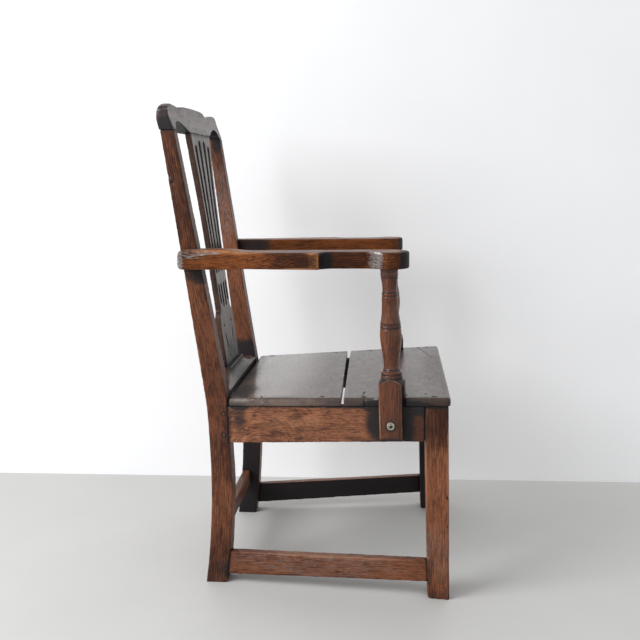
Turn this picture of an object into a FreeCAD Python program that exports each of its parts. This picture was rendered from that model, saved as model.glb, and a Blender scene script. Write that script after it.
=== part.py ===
"""Open armchair in oak: joined frame, plank seat, pierced splat and turned arm supports.

Own frame: +Z up, the front of the chair is -Y, the sitter's right is -X, the floor is Z = 0.
All sizes are millimetres. Change a size here and run the file to get the parts again.
The pieces of the sitter's right are modelled and mirrored to the left.
"""
import FreeCAD
import Part
import math
import os

from FreeCAD import Vector

os.makedirs("parts", exist_ok=True)

# Main frame
WIDTH_FRONT = 527.0          # over the front legs, at their front faces
WIDTH_BACK = 424.0           # over the back posts at the seat
FRAME_DEPTH = 445.0          # front of the posts at the seat to the front of the front legs
SEAT_HEIGHT = 404.0          # top of the seat at its front edge
SEAT_DROP = 17.0             # how much lower the top of the seat is at the back
FIT = 0.3                    # clearance of a tenon in its mortise and of pieces that only pass by
ROUND_STEPS = 2              # flats that make up a rounded edge

# Front legs
LEG_X = 42.0
LEG_Y = 46.0
LEG_FOOT_Y = 42.5            # depth at the foot, taken off the rear face
LEG_FOOT_CHAMFER = 2.5
LEG_ARRIS = 1.6

# Back posts, one piece from the floor to the crest rail
POST_X = 42.0
POST_Y = 44.0
POST_TOP_X = 30.0
POST_TOP_Y = 27.5
POST_TOP_RISE = 526.0        # top of the posts above the seat
POST_RAKE = 88.0             # front face at the top behind the front face at the seat
POST_SPLAY = 34.0            # outer face at the top outside the outer face at the seat
POST_BEND_DROP = 2.0         # bend below the rear edge of the seat
POST_TENON_X = 20.0
POST_TENON_Y = 10.0
POST_TENON_LENGTH = 22.0
POST_TENON_SETBACK = 11.0
# Height share of the bend, and the front and rear faces as shares of the post depth
POST_LEG_SHARES = [
    (0.0, 0.155, 1.145),
    (0.09, 0.062, 1.055),
    (0.18, -0.03, 0.965),
    (0.27, -0.08, 0.895),
    (0.47, -0.175, 0.815),
    (0.65, -0.15, 0.82),
    (0.83, -0.075, 0.885),
]

# Seat rails
RAIL_THICK = 22.0
RAIL_DEPTH_BACK = 76.0
RAIL_DEPTH_FRONT = 70.0
RAIL_TENON_THICK = 10.0
RAIL_TENON_LENGTH = 29.0
RAIL_TENON_INSET = 7.5       # from the outer face
RAIL_TENON_SHOULDER = 9.0    # above and below the tenon
FRONT_RAIL_INSET = 2.0
FRONT_RAIL_TENON_SETBACK = 4.0
FRONT_RAIL_TENON_LENGTH = 17.0
BACK_RAIL_INSET = 2.0
BACK_RAIL_THICK = 38.0
BACK_RAIL_HEIGHT = 80.0
BACK_RAIL_TENON_SETBACK = 11.0
BACK_RAIL_TENON_LENGTH = 17.0

# Stretchers
SIDE_STRETCHER_THICK = 18.0
SIDE_STRETCHER_BACK_Z = 18.5
SIDE_STRETCHER_BACK_HEIGHT = 47.0
SIDE_STRETCHER_FRONT_Z = 33.5
SIDE_STRETCHER_FRONT_HEIGHT = 42.5
SIDE_STRETCHER_INSET = 1.2
BACK_STRETCHER_Z = 74.0
BACK_STRETCHER_HEIGHT = 34.0
BACK_STRETCHER_THICK = 18.0
BACK_STRETCHER_Y = 19.0
STRETCHER_TENON_THICK = 8.0
STRETCHER_TENON_LENGTH = 20.0
STRETCHER_TENON_SHOULDER = 5.0

# Seat boards
BOARD_THICK = 17.0
BOARD_SIDE_OVERHANG = 3.0
BOARD_FRONT_OVERHANG = 4.5
BOARD_BACK_GAP = 4.6         # rear edge of the seat in front of the posts
BOARD_NOSE_RADIUS = 5.0
BOARD_UNDER_RADIUS = 2.0
BOARD_CORNER_REACH = 12.0
BOARD_CORNER_STEPS = 4
SHRINK_GAP_RIGHT = 4.4       # open joint between the two boards at the sitter's right
SHRINK_GAP_LEFT = 7.8
SHRINK_BACK_RIGHT = 238.0    # middle of the open joint in front of the posts
SHRINK_BACK_LEFT = 226.0

# Wrought nails, square in section
NAIL_HEAD_WIDTH = 5.4
NAIL_HEAD_TOP_WIDTH = 2.6
NAIL_HEAD_HEIGHT = 1.4
NAIL_PROUD = 0.4
NAIL_SHANK_WIDTH = 2.8
NAIL_POINT_WIDTH = 1.0
NAIL_LENGTH = 34.0
NAIL_DEPTH_SHARES = [0.07, 0.43, 0.62, 0.93]

# Crest rail
CREST_END_X = 247.0
CREST_HEIGHT = 57.0
CREST_DIP_DEPTH = 11.0
CREST_ARCH_HEIGHT = 19.5
CREST_LIP_X = 97.0           # half width of the straight seat for the splat
CREST_ARCH_END_X = 218.0
CREST_TOP_FRONT_RADIUS = 3.5
CREST_TOP_BACK_RADIUS = 7.0
CREST_END_ROUND = 1.6
# Position along the half and drop below the top, as shares of CREST_END_X and CREST_DIP_DEPTH
CREST_TOP_SHARES = [
    (0.0, 0.0), (0.17, 0.02), (0.30, 0.10), (0.365, 0.28), (0.405, 0.62), (0.45, 0.93),
    (0.505, 1.0), (0.575, 0.84), (0.66, 0.52), (0.75, 0.30), (0.83, 0.22), (0.90, 0.32),
    (0.955, 0.85), (0.988, 1.75), (1.0, 2.9),
]
# From the splat to the post: position and height of the lower edge as shares
CREST_ARCH_SHARES = [
    (0.0, 0.0), (0.16, 0.28), (0.36, 0.66), (0.54, 0.92), (0.70, 1.0), (0.84, 0.93),
    (0.95, 0.60), (1.0, 0.0),
]
# Places of the sections over the splat, over the arch and over the post, as shares of each
CREST_MIDDLE_SECTION_SHARES = (0.0, 0.36, 0.64, 0.84, 0.94)
CREST_ARCH_SECTION_SHARES = (0.0, 0.10, 0.22, 0.34, 0.46, 0.58, 0.70, 0.82, 0.91, 0.97)
CREST_END_SECTION_SHARES = (0.0, 0.30, 0.58, 0.80, 0.95, 1.0)
# Cross-section: depth behind the front of the posts and height, as shares of the height
CREST_FRONT_SHARES = [
    (0.0, 0.0), (0.12, 0.035), (0.33, 0.115), (0.56, 0.195), (0.74, 0.225), (0.90, 0.217),
    (1.0, 0.215),
]
CREST_BACK_SHARES = [
    (0.0, 0.51), (0.08, 0.535), (0.32, 0.60), (0.52, 0.625), (0.72, 0.618), (1.0, 0.605),
]
CREST_FRONT_STEPS = 6
CREST_BACK_STEPS = 4

# Splat
SPLAT_THICK = 13.0
SPLAT_RAKE = 64.6            # how much further back its front face is at the top
SPLAT_TOP_OFFSET = 0.6
SPLAT_TOP_TONGUE = 12.0
SPLAT_FOOT_TONGUE = 14.0
SPLAT_TONGUE_THICK = 7.0
SPLAT_TONGUE_SHOULDER = 13.0
SPLAT_TOP_TONGUE_SETBACK = 5.0
SPLAT_FOOT_TONGUE_SETBACK = 3.0
SPLAT_TOP_HALF = 95.5
# Height up the splat and half width, as shares of its height and of SPLAT_TOP_HALF
SPLAT_UPPER_SHARES = [
    (0.252, 0.560), (0.30, 0.562), (0.35, 0.568), (0.45, 0.595), (0.55, 0.632),
    (0.646, 0.685), (0.745, 0.757), (0.843, 0.853), (0.93, 0.945), (1.0, 1.0),
]
SPLAT_SHOULDER_SHARES = [(0.236, 0.575), (0.222, 0.66), (0.213, 0.735)]
SPLAT_LOWER_SHARES = [(0.16, 0.765), (0.09, 0.775), (0.0, 0.735)]
# Each pair of slots: inner and outer edge as shares of the local half width
SLOT_INNER_EDGE_SHARES = (0.155, 0.36)
SLOT_OUTER_EDGE_SHARES = (0.60, 0.80)
SLOT_UPPER_TOP_SHARES = (0.972, 0.951)
SLOT_UPPER_BOTTOM_SHARE = 0.398
SLOT_LOWER_TOP_SHARE = 0.348
SLOT_LOWER_BOTTOM_SHARES = (0.243, 0.262)
SLOT_STEPS = 6
SLOT_END_STEPS = 6
FOOT_SLOT_SHARES = [(0.148, 0.43), (0.105, 0.375), (0.06, 0.285)]
FOOT_SLOT_WIDTH = 5.0
FOOT_HOLE_SHARES = [(0.170, 0.435), (0.034, 0.265)]
FOOT_HOLE_RADIUS = 2.6

# Shoe under the splat
SHOE_HEIGHT = 34.0
SHOE_TOP_HALF = 73.5
SHOE_FRONT_INSET = 1.0
SHOE_TOP_SETBACK = 14.0
SHOE_LOWER_LIP = 6.0
SHOE_UPPER_LIP = 3.0
SHOE_LIP_STEP = 1.5
SHOE_END_HEIGHT = 10.0
SHOE_END_FLAT = 9.0
SHOE_COVE_SAG = 5.5
SHOE_END_SAG = 9.0

# Arms
ARM_RISE = 252.0             # underside of the arms above the seat
ARM_THICK = 33.0
ARM_LEFT_THICK = 30.5        # the two arms are worked by hand and differ a little
ARM_LEFT_DROP = 7.0          # how much lower the left arm is
ARM_LEFT_SHORT = 8.0         # how much further back its round end is
ARM_INNER_X = 213.0
ARM_HOUSING = 4.0            # depth of the housing in the post
ARM_REAR_PAST_POST = 5.5
ARM_TONGUE_X = 28.0          # width of the arm outside the post at its rear end
ARM_REAR_RADIUS = 13.0
ARM_REAR_UNDER_RADIUS = 10.0
ARM_REAR_STEPS = 3
ARM_CUSP_X = 290.0
ARM_CUSP_BACK = 136.0        # cusp behind the middle of the round end
ARM_WAIST_X = 267.0
ARM_RECESS_LENGTH = 46.0
ARM_HAND_RADIUS = 38.0
ARM_HAND_X = 252.0
ARM_HAND_BACK = 4.0          # middle of the round end behind the arm support
ARM_HAND_STEPS = 16
ARM_HAND_TURN = 8.0          # degrees that the round end runs on past a half circle at each side
ARM_UPPER_RADIUS = 3.5
ARM_LOWER_RADIUS = 2.5
# Outer side between the rear end and the cusp: position and offset as shares
ARM_SWELL_SHARES = [(0.28, 0.10), (0.52, 0.38), (0.76, 0.70)]
# Hollow in front of the cusp: depth and position as shares
ARM_RECESS_SHARES = [(0.30, 0.08), (0.72, 0.20), (0.95, 0.45)]

# Turned arm supports
SUPPORT_BACK = 108.0         # behind the front of the frame
SUPPORT_BLOCK_X = 43.0
SUPPORT_BLOCK_Y = 49.0
SUPPORT_LAP = 17.0           # how far the block stands outside the rail
SUPPORT_LAP_TRIM = 4.0       # the lap is narrower than the block at its front
SUPPORT_LEAN = 1.0           # degrees, leaning back towards the arm
SUPPORT_BLOCK_RISE = 36.0    # top of the block above the seat
SUPPORT_BLOCK_DROP = 86.0    # lower end of the block below the seat
SUPPORT_TENON_RADIUS = 10.0
SUPPORT_TENON_LENGTH = 21.0
SUPPORT_MAX_RADIUS = 21.3
SUPPORT_ARRIS = 1.5
TURNING_SIDES = 28
TURNING_SHOULDER_RADIUS = 25.5
TURNING_SHOULDER_DROP = 7.0
# Height share above the block and radius share: (height, radius)
TURNING_SHARES = [
    (0.0, 0.94), (0.008, 1.0), (0.022, 1.0), (0.031, 0.93), (0.040, 0.985), (0.052, 0.985),
    (0.062, 0.86), (0.085, 0.73), (0.115, 0.69), (0.17, 0.735), (0.25, 0.86), (0.32, 0.955),
    (0.385, 1.0), (0.44, 0.97), (0.448, 0.925), (0.456, 0.965), (0.468, 0.965), (0.475, 0.925),
    (0.483, 0.955), (0.53, 0.88), (0.585, 0.80), (0.66, 0.765), (0.735, 0.765), (0.745, 0.73),
    (0.755, 0.785), (0.770, 0.785), (0.782, 0.685), (0.81, 0.672), (0.86, 0.71), (0.912, 0.80),
    (0.921, 0.77), (0.932, 0.825), (0.948, 0.825), (0.957, 0.80), (1.0, 0.855),
]

# Pegs through the joints of the side rails and the back posts
PEG_RADIUS = 3.1
PEG_SIDES = 8
PEG_HOLE_SIDES = 12
PEG_PROUD = 0.7
PEG_CHAMFER = 0.6
PEG_LENGTH = 25.0
PEG_FROM_POST_FRONT = 7.0
PEG_DROPS = (33.0, 77.0)     # below the top of the seat at the back

# Screw and cup washer in the block of each arm support
SCREW_DROP = 56.0            # below the seat
SCREW_SIDES = 12
SCREW_SHANK_RADIUS = 2.4
SCREW_LENGTH = 33.0
SCREW_POINT_LENGTH = 5.0
SCREW_HEAD_RADIUS = 4.6
SCREW_HEAD_DOME = 0.9
SCREW_SLOT_WIDTH = 1.1
SCREW_SLOT_LENGTH = 5.4
SCREW_SLOT_DEPTH = 1.2
CUP_RADIUS = 8.2
CUP_HEIGHT = 2.4
CUP_RIM = 1.2
CUP_FLAT = 0.6
CUP_SIDES = 20

# Values that follow from the sizes
POST_TOP_Z = SEAT_HEIGHT + POST_TOP_RISE
POST_BEND_Z = SEAT_HEIGHT - SEAT_DROP - POST_BEND_DROP
ARM_BOTTOM_Z = SEAT_HEIGHT + ARM_RISE
SUPPORT_Y = FRAME_DEPTH - SUPPORT_BACK
SUPPORT_BLOCK_TOP = SEAT_HEIGHT + SUPPORT_BLOCK_RISE
SUPPORT_BLOCK_BOTTOM = SEAT_HEIGHT - SUPPORT_BLOCK_DROP
SCREW_Z = SEAT_HEIGHT - SCREW_DROP
ARM_HAND_Y = SUPPORT_Y - ARM_HAND_BACK
ARM_CUSP_Y = ARM_HAND_Y - ARM_CUSP_BACK
LEAN_SIDE = (WIDTH_FRONT - WIDTH_BACK) / 2 / FRAME_DEPTH
SLOPE = SEAT_DROP / (FRAME_DEPTH + BOARD_FRONT_OVERHANG)
FAR = 4 * (WIDTH_FRONT + FRAME_DEPTH + POST_TOP_Z)
ZERO = Vector(0, 0, 0)
ROUND_SHARE = 1 - math.sqrt(0.5)


def outer_x(y):
    """Outer face of rails, legs and stretchers on the sitter's right at depth y (y is negative)."""
    return -WIDTH_BACK / 2 + LEAN_SIDE * y


def seat_top(y):
    """Height of the top of the seat at depth y."""
    return SEAT_HEIGHT - SLOPE * (y + FRAME_DEPTH + BOARD_FRONT_OVERHANG)


def seat_under(y):
    return seat_top(y) - BOARD_THICK


def in_xy(a, b):
    return Vector(a, b, 0)


def in_xz(a, b):
    return Vector(a, 0, b)


def in_yz(a, b):
    return Vector(0, a, b)


def value_at(table, share):
    """Second number of a table of shares at a place between its first numbers."""
    for (h0, w0), (h1, w1) in zip(table, table[1:]):
        if h0 <= share <= h1:
            return w0 + (w1 - w0) * (share - h0) / (h1 - h0)
    return table[0][1] if share < table[0][0] else table[-1][1]


# Edges and solids
def line(points, plane):
    """Straight edges through the points."""
    spots = [plane(a, b) for a, b in points]
    return [Part.makeLine(p, q) for p, q in zip(spots, spots[1:])]


def curve(points, plane, start=None, end=None):
    """One smooth edge through the points, with end directions if they are given."""
    spline = Part.BSplineCurve()
    spots = [plane(a, b) for a, b in points]
    if start and end:
        spline.interpolate(Points=spots, InitialTangent=plane(*start), FinalTangent=plane(*end))
    else:
        spline.interpolate(Points=spots)
    return [spline.toShape()]


def arc(a, middle, b, plane):
    return [Part.Arc(plane(*a), plane(*middle), plane(*b)).toShape()]


def polygon(points, plane):
    return line(points + points[:1], plane)


def prism(edges, start, along):
    """Solid swept from a closed outline."""
    face = Part.Face(Part.Wire(Part.sortEdges(edges)[0]))
    face.translate(start)
    return face.extrude(along)


def prism_x(edges, low, high):
    return prism(edges, Vector(low, 0, 0), Vector(high - low, 0, 0))


def prism_y(edges, low, high):
    return prism(edges, Vector(0, low, 0), Vector(0, high - low, 0))


def prism_z(edges, low, high):
    return prism(edges, Vector(0, 0, low), Vector(0, 0, high - low))


def skin(outlines):
    """Solid with flat faces through closed outlines that have equally many corners."""
    faces = [Part.Face(Part.makePolygon(end + end[:1])) for end in (outlines[0], outlines[-1])]
    for low, high in zip(outlines, outlines[1:]):
        corners = list(zip(low, high))
        for (a, b), (d, c) in zip(corners, corners[1:] + corners[:1]):
            faces.append(Part.Face(Part.makePolygon([a, d, c, b, a])))
    solid = Part.makeSolid(Part.makeShell(faces))
    return solid if solid.Volume > 0 else solid.reversed()


def turned_solid(profile, sides):
    """Turned piece about Z through rings of a radius and a height, with flats round it."""
    rings = []
    for radius, height in profile:
        turns = [2 * math.pi * i / sides for i in range(sides)]
        rings.append([Vector(radius * math.cos(t), radius * math.sin(t), height) for t in turns])
    return skin(rings)


def box(x0, x1, y0, y1, z0, z1):
    return Part.makeBox(x1 - x0, y1 - y0, z1 - z0, Vector(x0, y0, z0))


def mortise(x0, x1, y0, y1, z0, z1):
    """Mortise for the tenon with the same numbers."""
    return box(x0 - FIT, x1 + FIT, y0 - FIT, y1 + FIT, z0 - FIT, z1 + FIT)


def mirrored(shape):
    return shape.mirror(ZERO, Vector(1, 0, 0))


def one_solid(shape):
    """The largest solid of a cut, without the seams that the cuts leave."""
    shape = shape.removeSplitter()
    return max(shape.Solids, key=lambda s: s.Volume)


def inward(a, b, turn):
    run = math.hypot(b[0] - a[0], b[1] - a[1])
    return (-(b[1] - a[1]) / run * turn, (b[0] - a[0]) / run * turn)


def inset_plan(plan, inset):
    """The closed outline with every side moved inwards by the inset."""
    twice_area = sum(a[0] * b[1] - b[0] * a[1] for a, b in zip(plan, plan[1:] + plan[:1]))
    turn = 1 if twice_area > 0 else -1
    moved = []
    for before, here, after in zip(plan[-1:] + plan[:-1], plan, plan[1:] + plan[:1]):
        first = inward(before, here, turn)
        second = inward(here, after, turn)
        reach = inset / (1 + first[0] * second[0] + first[1] * second[1])
        moved.append((here[0] + (first[0] + second[0]) * reach, here[1] + (first[1] + second[1]) * reach))
    return moved


def soft_slab(plan, thick, under, over, floor):
    """Slab with the plan, its edges rounded below and above; floor gives the height of its underside."""
    levels = []
    for step in range(ROUND_STEPS + 1):
        turn = math.pi / 2 * step / ROUND_STEPS
        levels.append((under * (1 - math.cos(turn)), under * (1 - math.sin(turn))))
    for step in range(ROUND_STEPS, -1, -1):
        turn = math.pi / 2 * step / ROUND_STEPS
        levels.append((thick - over * (1 - math.cos(turn)), over * (1 - math.sin(turn))))
    outlines = []
    for height, inset in levels:
        outlines.append([Vector(x, y, floor(y) + height) for x, y in inset_plan(plan, inset)])
    return skin(outlines)


def bevelled(plan, size):
    """Plan with each corner cut off by the size along both sides."""
    cut = []
    for before, here, after in zip(plan[-1:] + plan[:-1], plan, plan[1:] + plan[:1]):
        for other in (before, after):
            run = math.hypot(other[0] - here[0], other[1] - here[1])
            cut.append((here[0] + (other[0] - here[0]) * size / run,
                        here[1] + (other[1] - here[1]) * size / run))
    return cut


def round_corner(before, corner, after, reach, steps):
    """Points of a rounded corner that starts and ends at the reach from it."""
    ends = []
    for other in (before, after):
        run = math.hypot(other[0] - corner[0], other[1] - corner[1])
        ends.append([c + (o - c) * reach / run for c, o in zip(corner, other)])
    points = []
    for step in range(steps + 1):
        t = step / steps
        points.append(tuple((1 - t) ** 2 * a + 2 * t * (1 - t) * c + t ** 2 * b
                            for a, c, b in zip(ends[0], corner, ends[1])))
    return points


def plan_strip(inset, thick, y0, y1):
    """Plan of a bar that follows the side of the chair."""
    across = thick * math.sqrt(1 + LEAN_SIDE * LEAN_SIDE)
    low, high = inset, inset + across
    return polygon([(outer_x(y0) + low, y0), (outer_x(y1) + low, y1),
                    (outer_x(y1) + high, y1), (outer_x(y0) + high, y0)], in_xy)


def sloping(y0, low0, high0, y1, low1, high1):
    """Side view of a bar from y0 to y1 with its lower and upper edge at both ends."""
    return polygon([(y0, low0), (y1, low1), (y1, high1), (y0, high0)], in_yz)


# Back post on the sitter's right
def post_share(z):
    return (z - POST_BEND_Z) / (POST_TOP_Z - POST_BEND_Z)


def post_front(z):
    """Depth of the front face of a back post above the bend."""
    return POST_RAKE * post_share(z)


def post_back(z):
    return post_front(z) + POST_Y + (POST_TOP_Y - POST_Y) * post_share(z)


def post_outer(z):
    return -WIDTH_BACK / 2 - POST_SPLAY * max(post_share(z), 0)


def post_inner(z):
    return post_outer(z) + POST_X + (POST_TOP_X - POST_X) * max(post_share(z), 0)


def make_post_blank():
    front = [(POST_Y * f, POST_BEND_Z * h) for h, f, r in POST_LEG_SHARES]
    back = [(POST_Y * r, POST_BEND_Z * h) for h, f, r in POST_LEG_SHARES]
    front.append((0, POST_BEND_Z))
    back.append((POST_Y, POST_BEND_Z))
    rise = POST_TOP_Z - POST_BEND_Z
    front_end = (POST_RAKE, rise)
    back_end = (post_back(POST_TOP_Z) - POST_Y, rise)
    front_start = (front[1][0] - front[0][0], front[1][1])
    back_start = (back[1][0] - back[0][0], back[1][1])
    side = curve(front, in_yz, front_start, front_end)
    side += line([front[-1], (POST_RAKE, POST_TOP_Z), (post_back(POST_TOP_Z), POST_TOP_Z), back[-1]], in_yz)
    side += curve(back, in_yz, back_start, back_end)
    side += line([front[0], back[0]], in_yz)
    seen_from_front = polygon([
        (post_outer(0), 0), (post_inner(0), 0), (post_inner(POST_BEND_Z), POST_BEND_Z),
        (post_inner(POST_TOP_Z), POST_TOP_Z), (post_outer(POST_TOP_Z), POST_TOP_Z),
        (post_outer(POST_BEND_Z), POST_BEND_Z)], in_xz)
    return prism_x(side, -FAR, FAR).common(prism_y(seen_from_front, -FAR, FAR))


post_blank = make_post_blank()
leg_back_y = -FRAME_DEPTH + LEG_Y


def housing_plane(side, low_z, thick):
    """Sloping band at the outer face of the post, from the floor of the arm's housing to one side."""
    low = post_outer(low_z) + ARM_HOUSING
    high = post_outer(low_z + thick) + ARM_HOUSING
    return polygon([(low, low_z), (low + side, low_z),
                    (high + side, low_z + thick), (high, low_z + thick)], in_xz)


def housed_post(low_z, thick):
    """Post with the housing for the arm across its outer face."""
    return post_blank.cut(prism_y(housing_plane(-POST_X, low_z, thick), -POST_Y, POST_RAKE + 2 * POST_Y))


def arm_rear_y(low_z, thick):
    return post_back(low_z + thick / 2) + ARM_REAR_PAST_POST


def arm_plan(low_z, thick, short):
    """Outline seen from above: rear end, outer side, cusp, hollow, waist, round end, inner side."""
    mid_z = low_z + thick / 2
    rear_y = arm_rear_y(low_z, thick)
    rear_outer = post_outer(mid_z) - ARM_TONGUE_X
    rear_inner = post_outer(low_z) + ARM_HOUSING + ARM_UPPER_RADIUS
    hand_y = ARM_HAND_Y - short
    rear = (rear_outer, rear_y - ARM_REAR_RADIUS)
    plan = round_corner((0, rear_y), (rear_outer, rear_y), (rear_outer, 0), ARM_REAR_RADIUS, ARM_REAR_STEPS)
    cusp = (-ARM_CUSP_X, -ARM_CUSP_Y)
    for along, out in ARM_SWELL_SHARES:
        plan.append((rear[0] + (cusp[0] - rear[0]) * out, rear[1] + (cusp[1] - rear[1]) * along))
    plan.append(cusp)
    for deep, along in ARM_RECESS_SHARES:
        plan.append((-ARM_CUSP_X + (ARM_CUSP_X - ARM_WAIST_X) * deep,
                     -ARM_CUSP_Y - ARM_RECESS_LENGTH * along))
    plan.append((-ARM_WAIST_X, -ARM_CUSP_Y - ARM_RECESS_LENGTH))
    waist_end = (-ARM_WAIST_X, -hand_y + ARM_HAND_RADIUS + ARM_REAR_RADIUS / 2)
    past = math.radians(ARM_HAND_TURN)
    hand = []
    for step in range(ARM_HAND_STEPS + 1):
        turn = math.pi + past - (math.pi + 2 * past) * step / ARM_HAND_STEPS
        hand.append((-ARM_HAND_X + ARM_HAND_RADIUS * math.cos(turn),
                     -hand_y - ARM_HAND_RADIUS * math.sin(turn)))
    plan.append(waist_end)
    plan.append(((waist_end[0] * 2 + hand[0][0]) / 3, (waist_end[1] + hand[0][1]) / 2))
    plan += hand
    inside_post = (post_front(mid_z) + post_back(mid_z)) / 2
    plan.append((-ARM_INNER_X, hand[-1][1] + ARM_HAND_RADIUS / 2))
    plan.append((-ARM_INNER_X, inside_post))
    plan.append((rear_inner, inside_post))
    plan.append((rear_inner, rear_y))
    return plan


def worn_end(rear_y, reach, edge_z, way):
    """What the wear takes off an end of the arm, above (way 1) or below (way -1)."""
    return prism_x(polygon([
        (rear_y - reach, edge_z), (rear_y - reach * ROUND_SHARE, edge_z - way * reach * ROUND_SHARE),
        (rear_y, edge_z - way * reach), (rear_y + reach, edge_z - way * reach),
        (rear_y + reach, edge_z + way * reach), (rear_y - reach, edge_z + way * reach)], in_yz),
        -FAR, FAR)


def make_arm(low_z, thick, short):
    plan = arm_plan(low_z, thick, short)
    rear_y = arm_rear_y(low_z, thick)
    body = soft_slab(plan, thick, ARM_LOWER_RADIUS, ARM_UPPER_RADIUS, lambda y: low_z)
    body = body.cut(worn_end(rear_y, ARM_REAR_RADIUS, low_z + thick, 1))
    body = body.cut(worn_end(rear_y, ARM_REAR_UNDER_RADIUS, low_z, -1))
    body = body.cut(housed_post(low_z, thick))
    body = body.cut(prism_y(housing_plane(POST_X, low_z, thick), post_back(low_z), FAR))
    return one_solid(body.cut(round_tenon(low_z, FIT)))


# Local frame of an arm support: x inwards from the face of the rail, y backwards, z up
def to_support(shape):
    placed = shape.copy()
    pivot = Vector(0, 0, SUPPORT_BLOCK_BOTTOM)
    placed.rotate(pivot, Vector(1, 0, 0), -SUPPORT_LEAN)
    placed.rotate(ZERO, Vector(0, 0, 1), -math.degrees(math.atan(LEAN_SIDE)))
    placed.translate(Vector(outer_x(-SUPPORT_Y), -SUPPORT_Y, 0))
    return placed


axis_x = SUPPORT_BLOCK_X / 2 - SUPPORT_LAP
on_axis = Vector(axis_x, 0, 0)


def round_tenon(low_z, clear):
    """Round tenon of the support in the arm; clear is what its hole adds."""
    tenon = turned_solid([
        (SUPPORT_TENON_RADIUS + clear, low_z - SUPPORT_MAX_RADIUS),
        (SUPPORT_TENON_RADIUS + clear, low_z + SUPPORT_TENON_LENGTH + clear)], TURNING_SIDES)
    tenon.translate(on_axis)
    return to_support(tenon)


def make_support(low_z):
    """Arm support up to an arm with its underside at low_z."""
    half = SUPPORT_BLOCK_Y / 2
    turning_length = low_z - SUPPORT_BLOCK_TOP
    low, high = -SUPPORT_LAP, SUPPORT_BLOCK_X - SUPPORT_LAP
    block_plan = bevelled([(low, -half), (high, -half), (high, half), (low, half)], SUPPORT_ARRIS)
    block = prism_z(polygon(block_plan, in_xy), SUPPORT_BLOCK_BOTTOM, SUPPORT_BLOCK_TOP)
    # the lathe takes the four corners of the block down to a slope
    corner = math.hypot(SUPPORT_BLOCK_X, SUPPORT_BLOCK_Y)
    fall = TURNING_SHOULDER_DROP * (corner - TURNING_SHOULDER_RADIUS) / TURNING_SHOULDER_RADIUS
    shoulder = turned_solid([
        (corner, 0), (corner, SUPPORT_BLOCK_TOP - fall), (TURNING_SHOULDER_RADIUS, SUPPORT_BLOCK_TOP)],
        TURNING_SIDES)
    shoulder.translate(on_axis)
    profile = [(SUPPORT_MAX_RADIUS * r, SUPPORT_BLOCK_TOP + turning_length * h) for h, r in TURNING_SHARES]
    sunk = (profile[0][0], SUPPORT_BLOCK_TOP - SUPPORT_LAP_TRIM)
    top = (profile[-1][0], low_z + SUPPORT_LAP_TRIM)
    turned = turned_solid([sunk] + profile + [top], TURNING_SIDES)
    turned.translate(on_axis)
    body = to_support(block.common(shoulder).fuse(turned))
    body = body.common(box(-FAR, FAR, -FAR, FAR, 0, low_z))
    body = body.fuse(round_tenon(low_z, 0))
    # lap: everything inside the face of the rail and below the seat is cut away
    reach = 2 * SUPPORT_BLOCK_Y
    inside = polygon([
        (outer_x(-SUPPORT_Y - reach) - FIT, -SUPPORT_Y - reach),
        (outer_x(-SUPPORT_Y + reach) - FIT, -SUPPORT_Y + reach),
        (outer_x(-SUPPORT_Y + reach) + reach, -SUPPORT_Y + reach),
        (outer_x(-SUPPORT_Y - reach) + reach, -SUPPORT_Y - reach)], in_xy)
    below = polygon([
        (-SUPPORT_Y - reach, 0), (-SUPPORT_Y + reach, 0),
        (-SUPPORT_Y + reach, seat_top(-SUPPORT_Y + reach) + FIT),
        (-SUPPORT_Y - reach, seat_top(-SUPPORT_Y - reach) + FIT)], in_yz)
    body = body.cut(prism_z(inside, 0, SEAT_HEIGHT + reach).common(prism_x(below, -FAR, FAR)))
    trim = box(-2 * SUPPORT_LAP, 0, -half - SUPPORT_LAP, -half + SUPPORT_LAP_TRIM,
               SUPPORT_BLOCK_BOTTOM - SUPPORT_LAP, SUPPORT_BLOCK_TOP - TURNING_SHOULDER_DROP / 2)
    return body.cut(to_support(trim))


# The right arm, and the left arm before it is mirrored: underside, thickness, shortening
arm_sizes = {
    "right": (ARM_BOTTOM_Z, ARM_THICK, 0),
    "left": (ARM_BOTTOM_Z - ARM_LEFT_DROP, ARM_LEFT_THICK, ARM_LEFT_SHORT),
}
arms = {}
supports = {}
posts = {}
for side, (low_z, thick, short) in arm_sizes.items():
    arms[side] = make_arm(low_z, thick, short)
    supports[side] = make_support(low_z)
    posts[side] = housed_post(low_z, thick)

# Side seat rail on the sitter's right
rail_bottom_back = seat_under(0) - RAIL_DEPTH_BACK
rail_bottom_front = seat_under(leg_back_y) - RAIL_DEPTH_FRONT
rail_slope = (rail_bottom_front - rail_bottom_back) / leg_back_y
rail_over = POST_Y / 2
rail = prism_z(plan_strip(0, RAIL_THICK, leg_back_y, rail_over), 0, SEAT_HEIGHT)
rail = rail.common(prism_x(sloping(
    leg_back_y, rail_bottom_front, seat_under(leg_back_y),
    rail_over, rail_bottom_back + rail_slope * rail_over, seat_under(rail_over)), -FAR, FAR))
rail = one_solid(rail.cut(post_blank))
back_tenon = (outer_x(0) + RAIL_TENON_INSET, outer_x(0) + RAIL_TENON_INSET + RAIL_TENON_THICK,
              -POST_Y / 2, RAIL_TENON_LENGTH,
              rail_bottom_back + RAIL_TENON_SHOULDER, seat_under(0) - RAIL_TENON_SHOULDER)
front_tenon_x = outer_x(leg_back_y) + RAIL_TENON_INSET
front_tenon = (front_tenon_x, front_tenon_x + RAIL_TENON_THICK,
               leg_back_y - RAIL_TENON_LENGTH, leg_back_y + RAIL_THICK,
               rail_bottom_front + RAIL_TENON_SHOULDER, seat_under(leg_back_y) - RAIL_TENON_SHOULDER)
rail = rail.fuse(box(*back_tenon)).fuse(box(*front_tenon))

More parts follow.
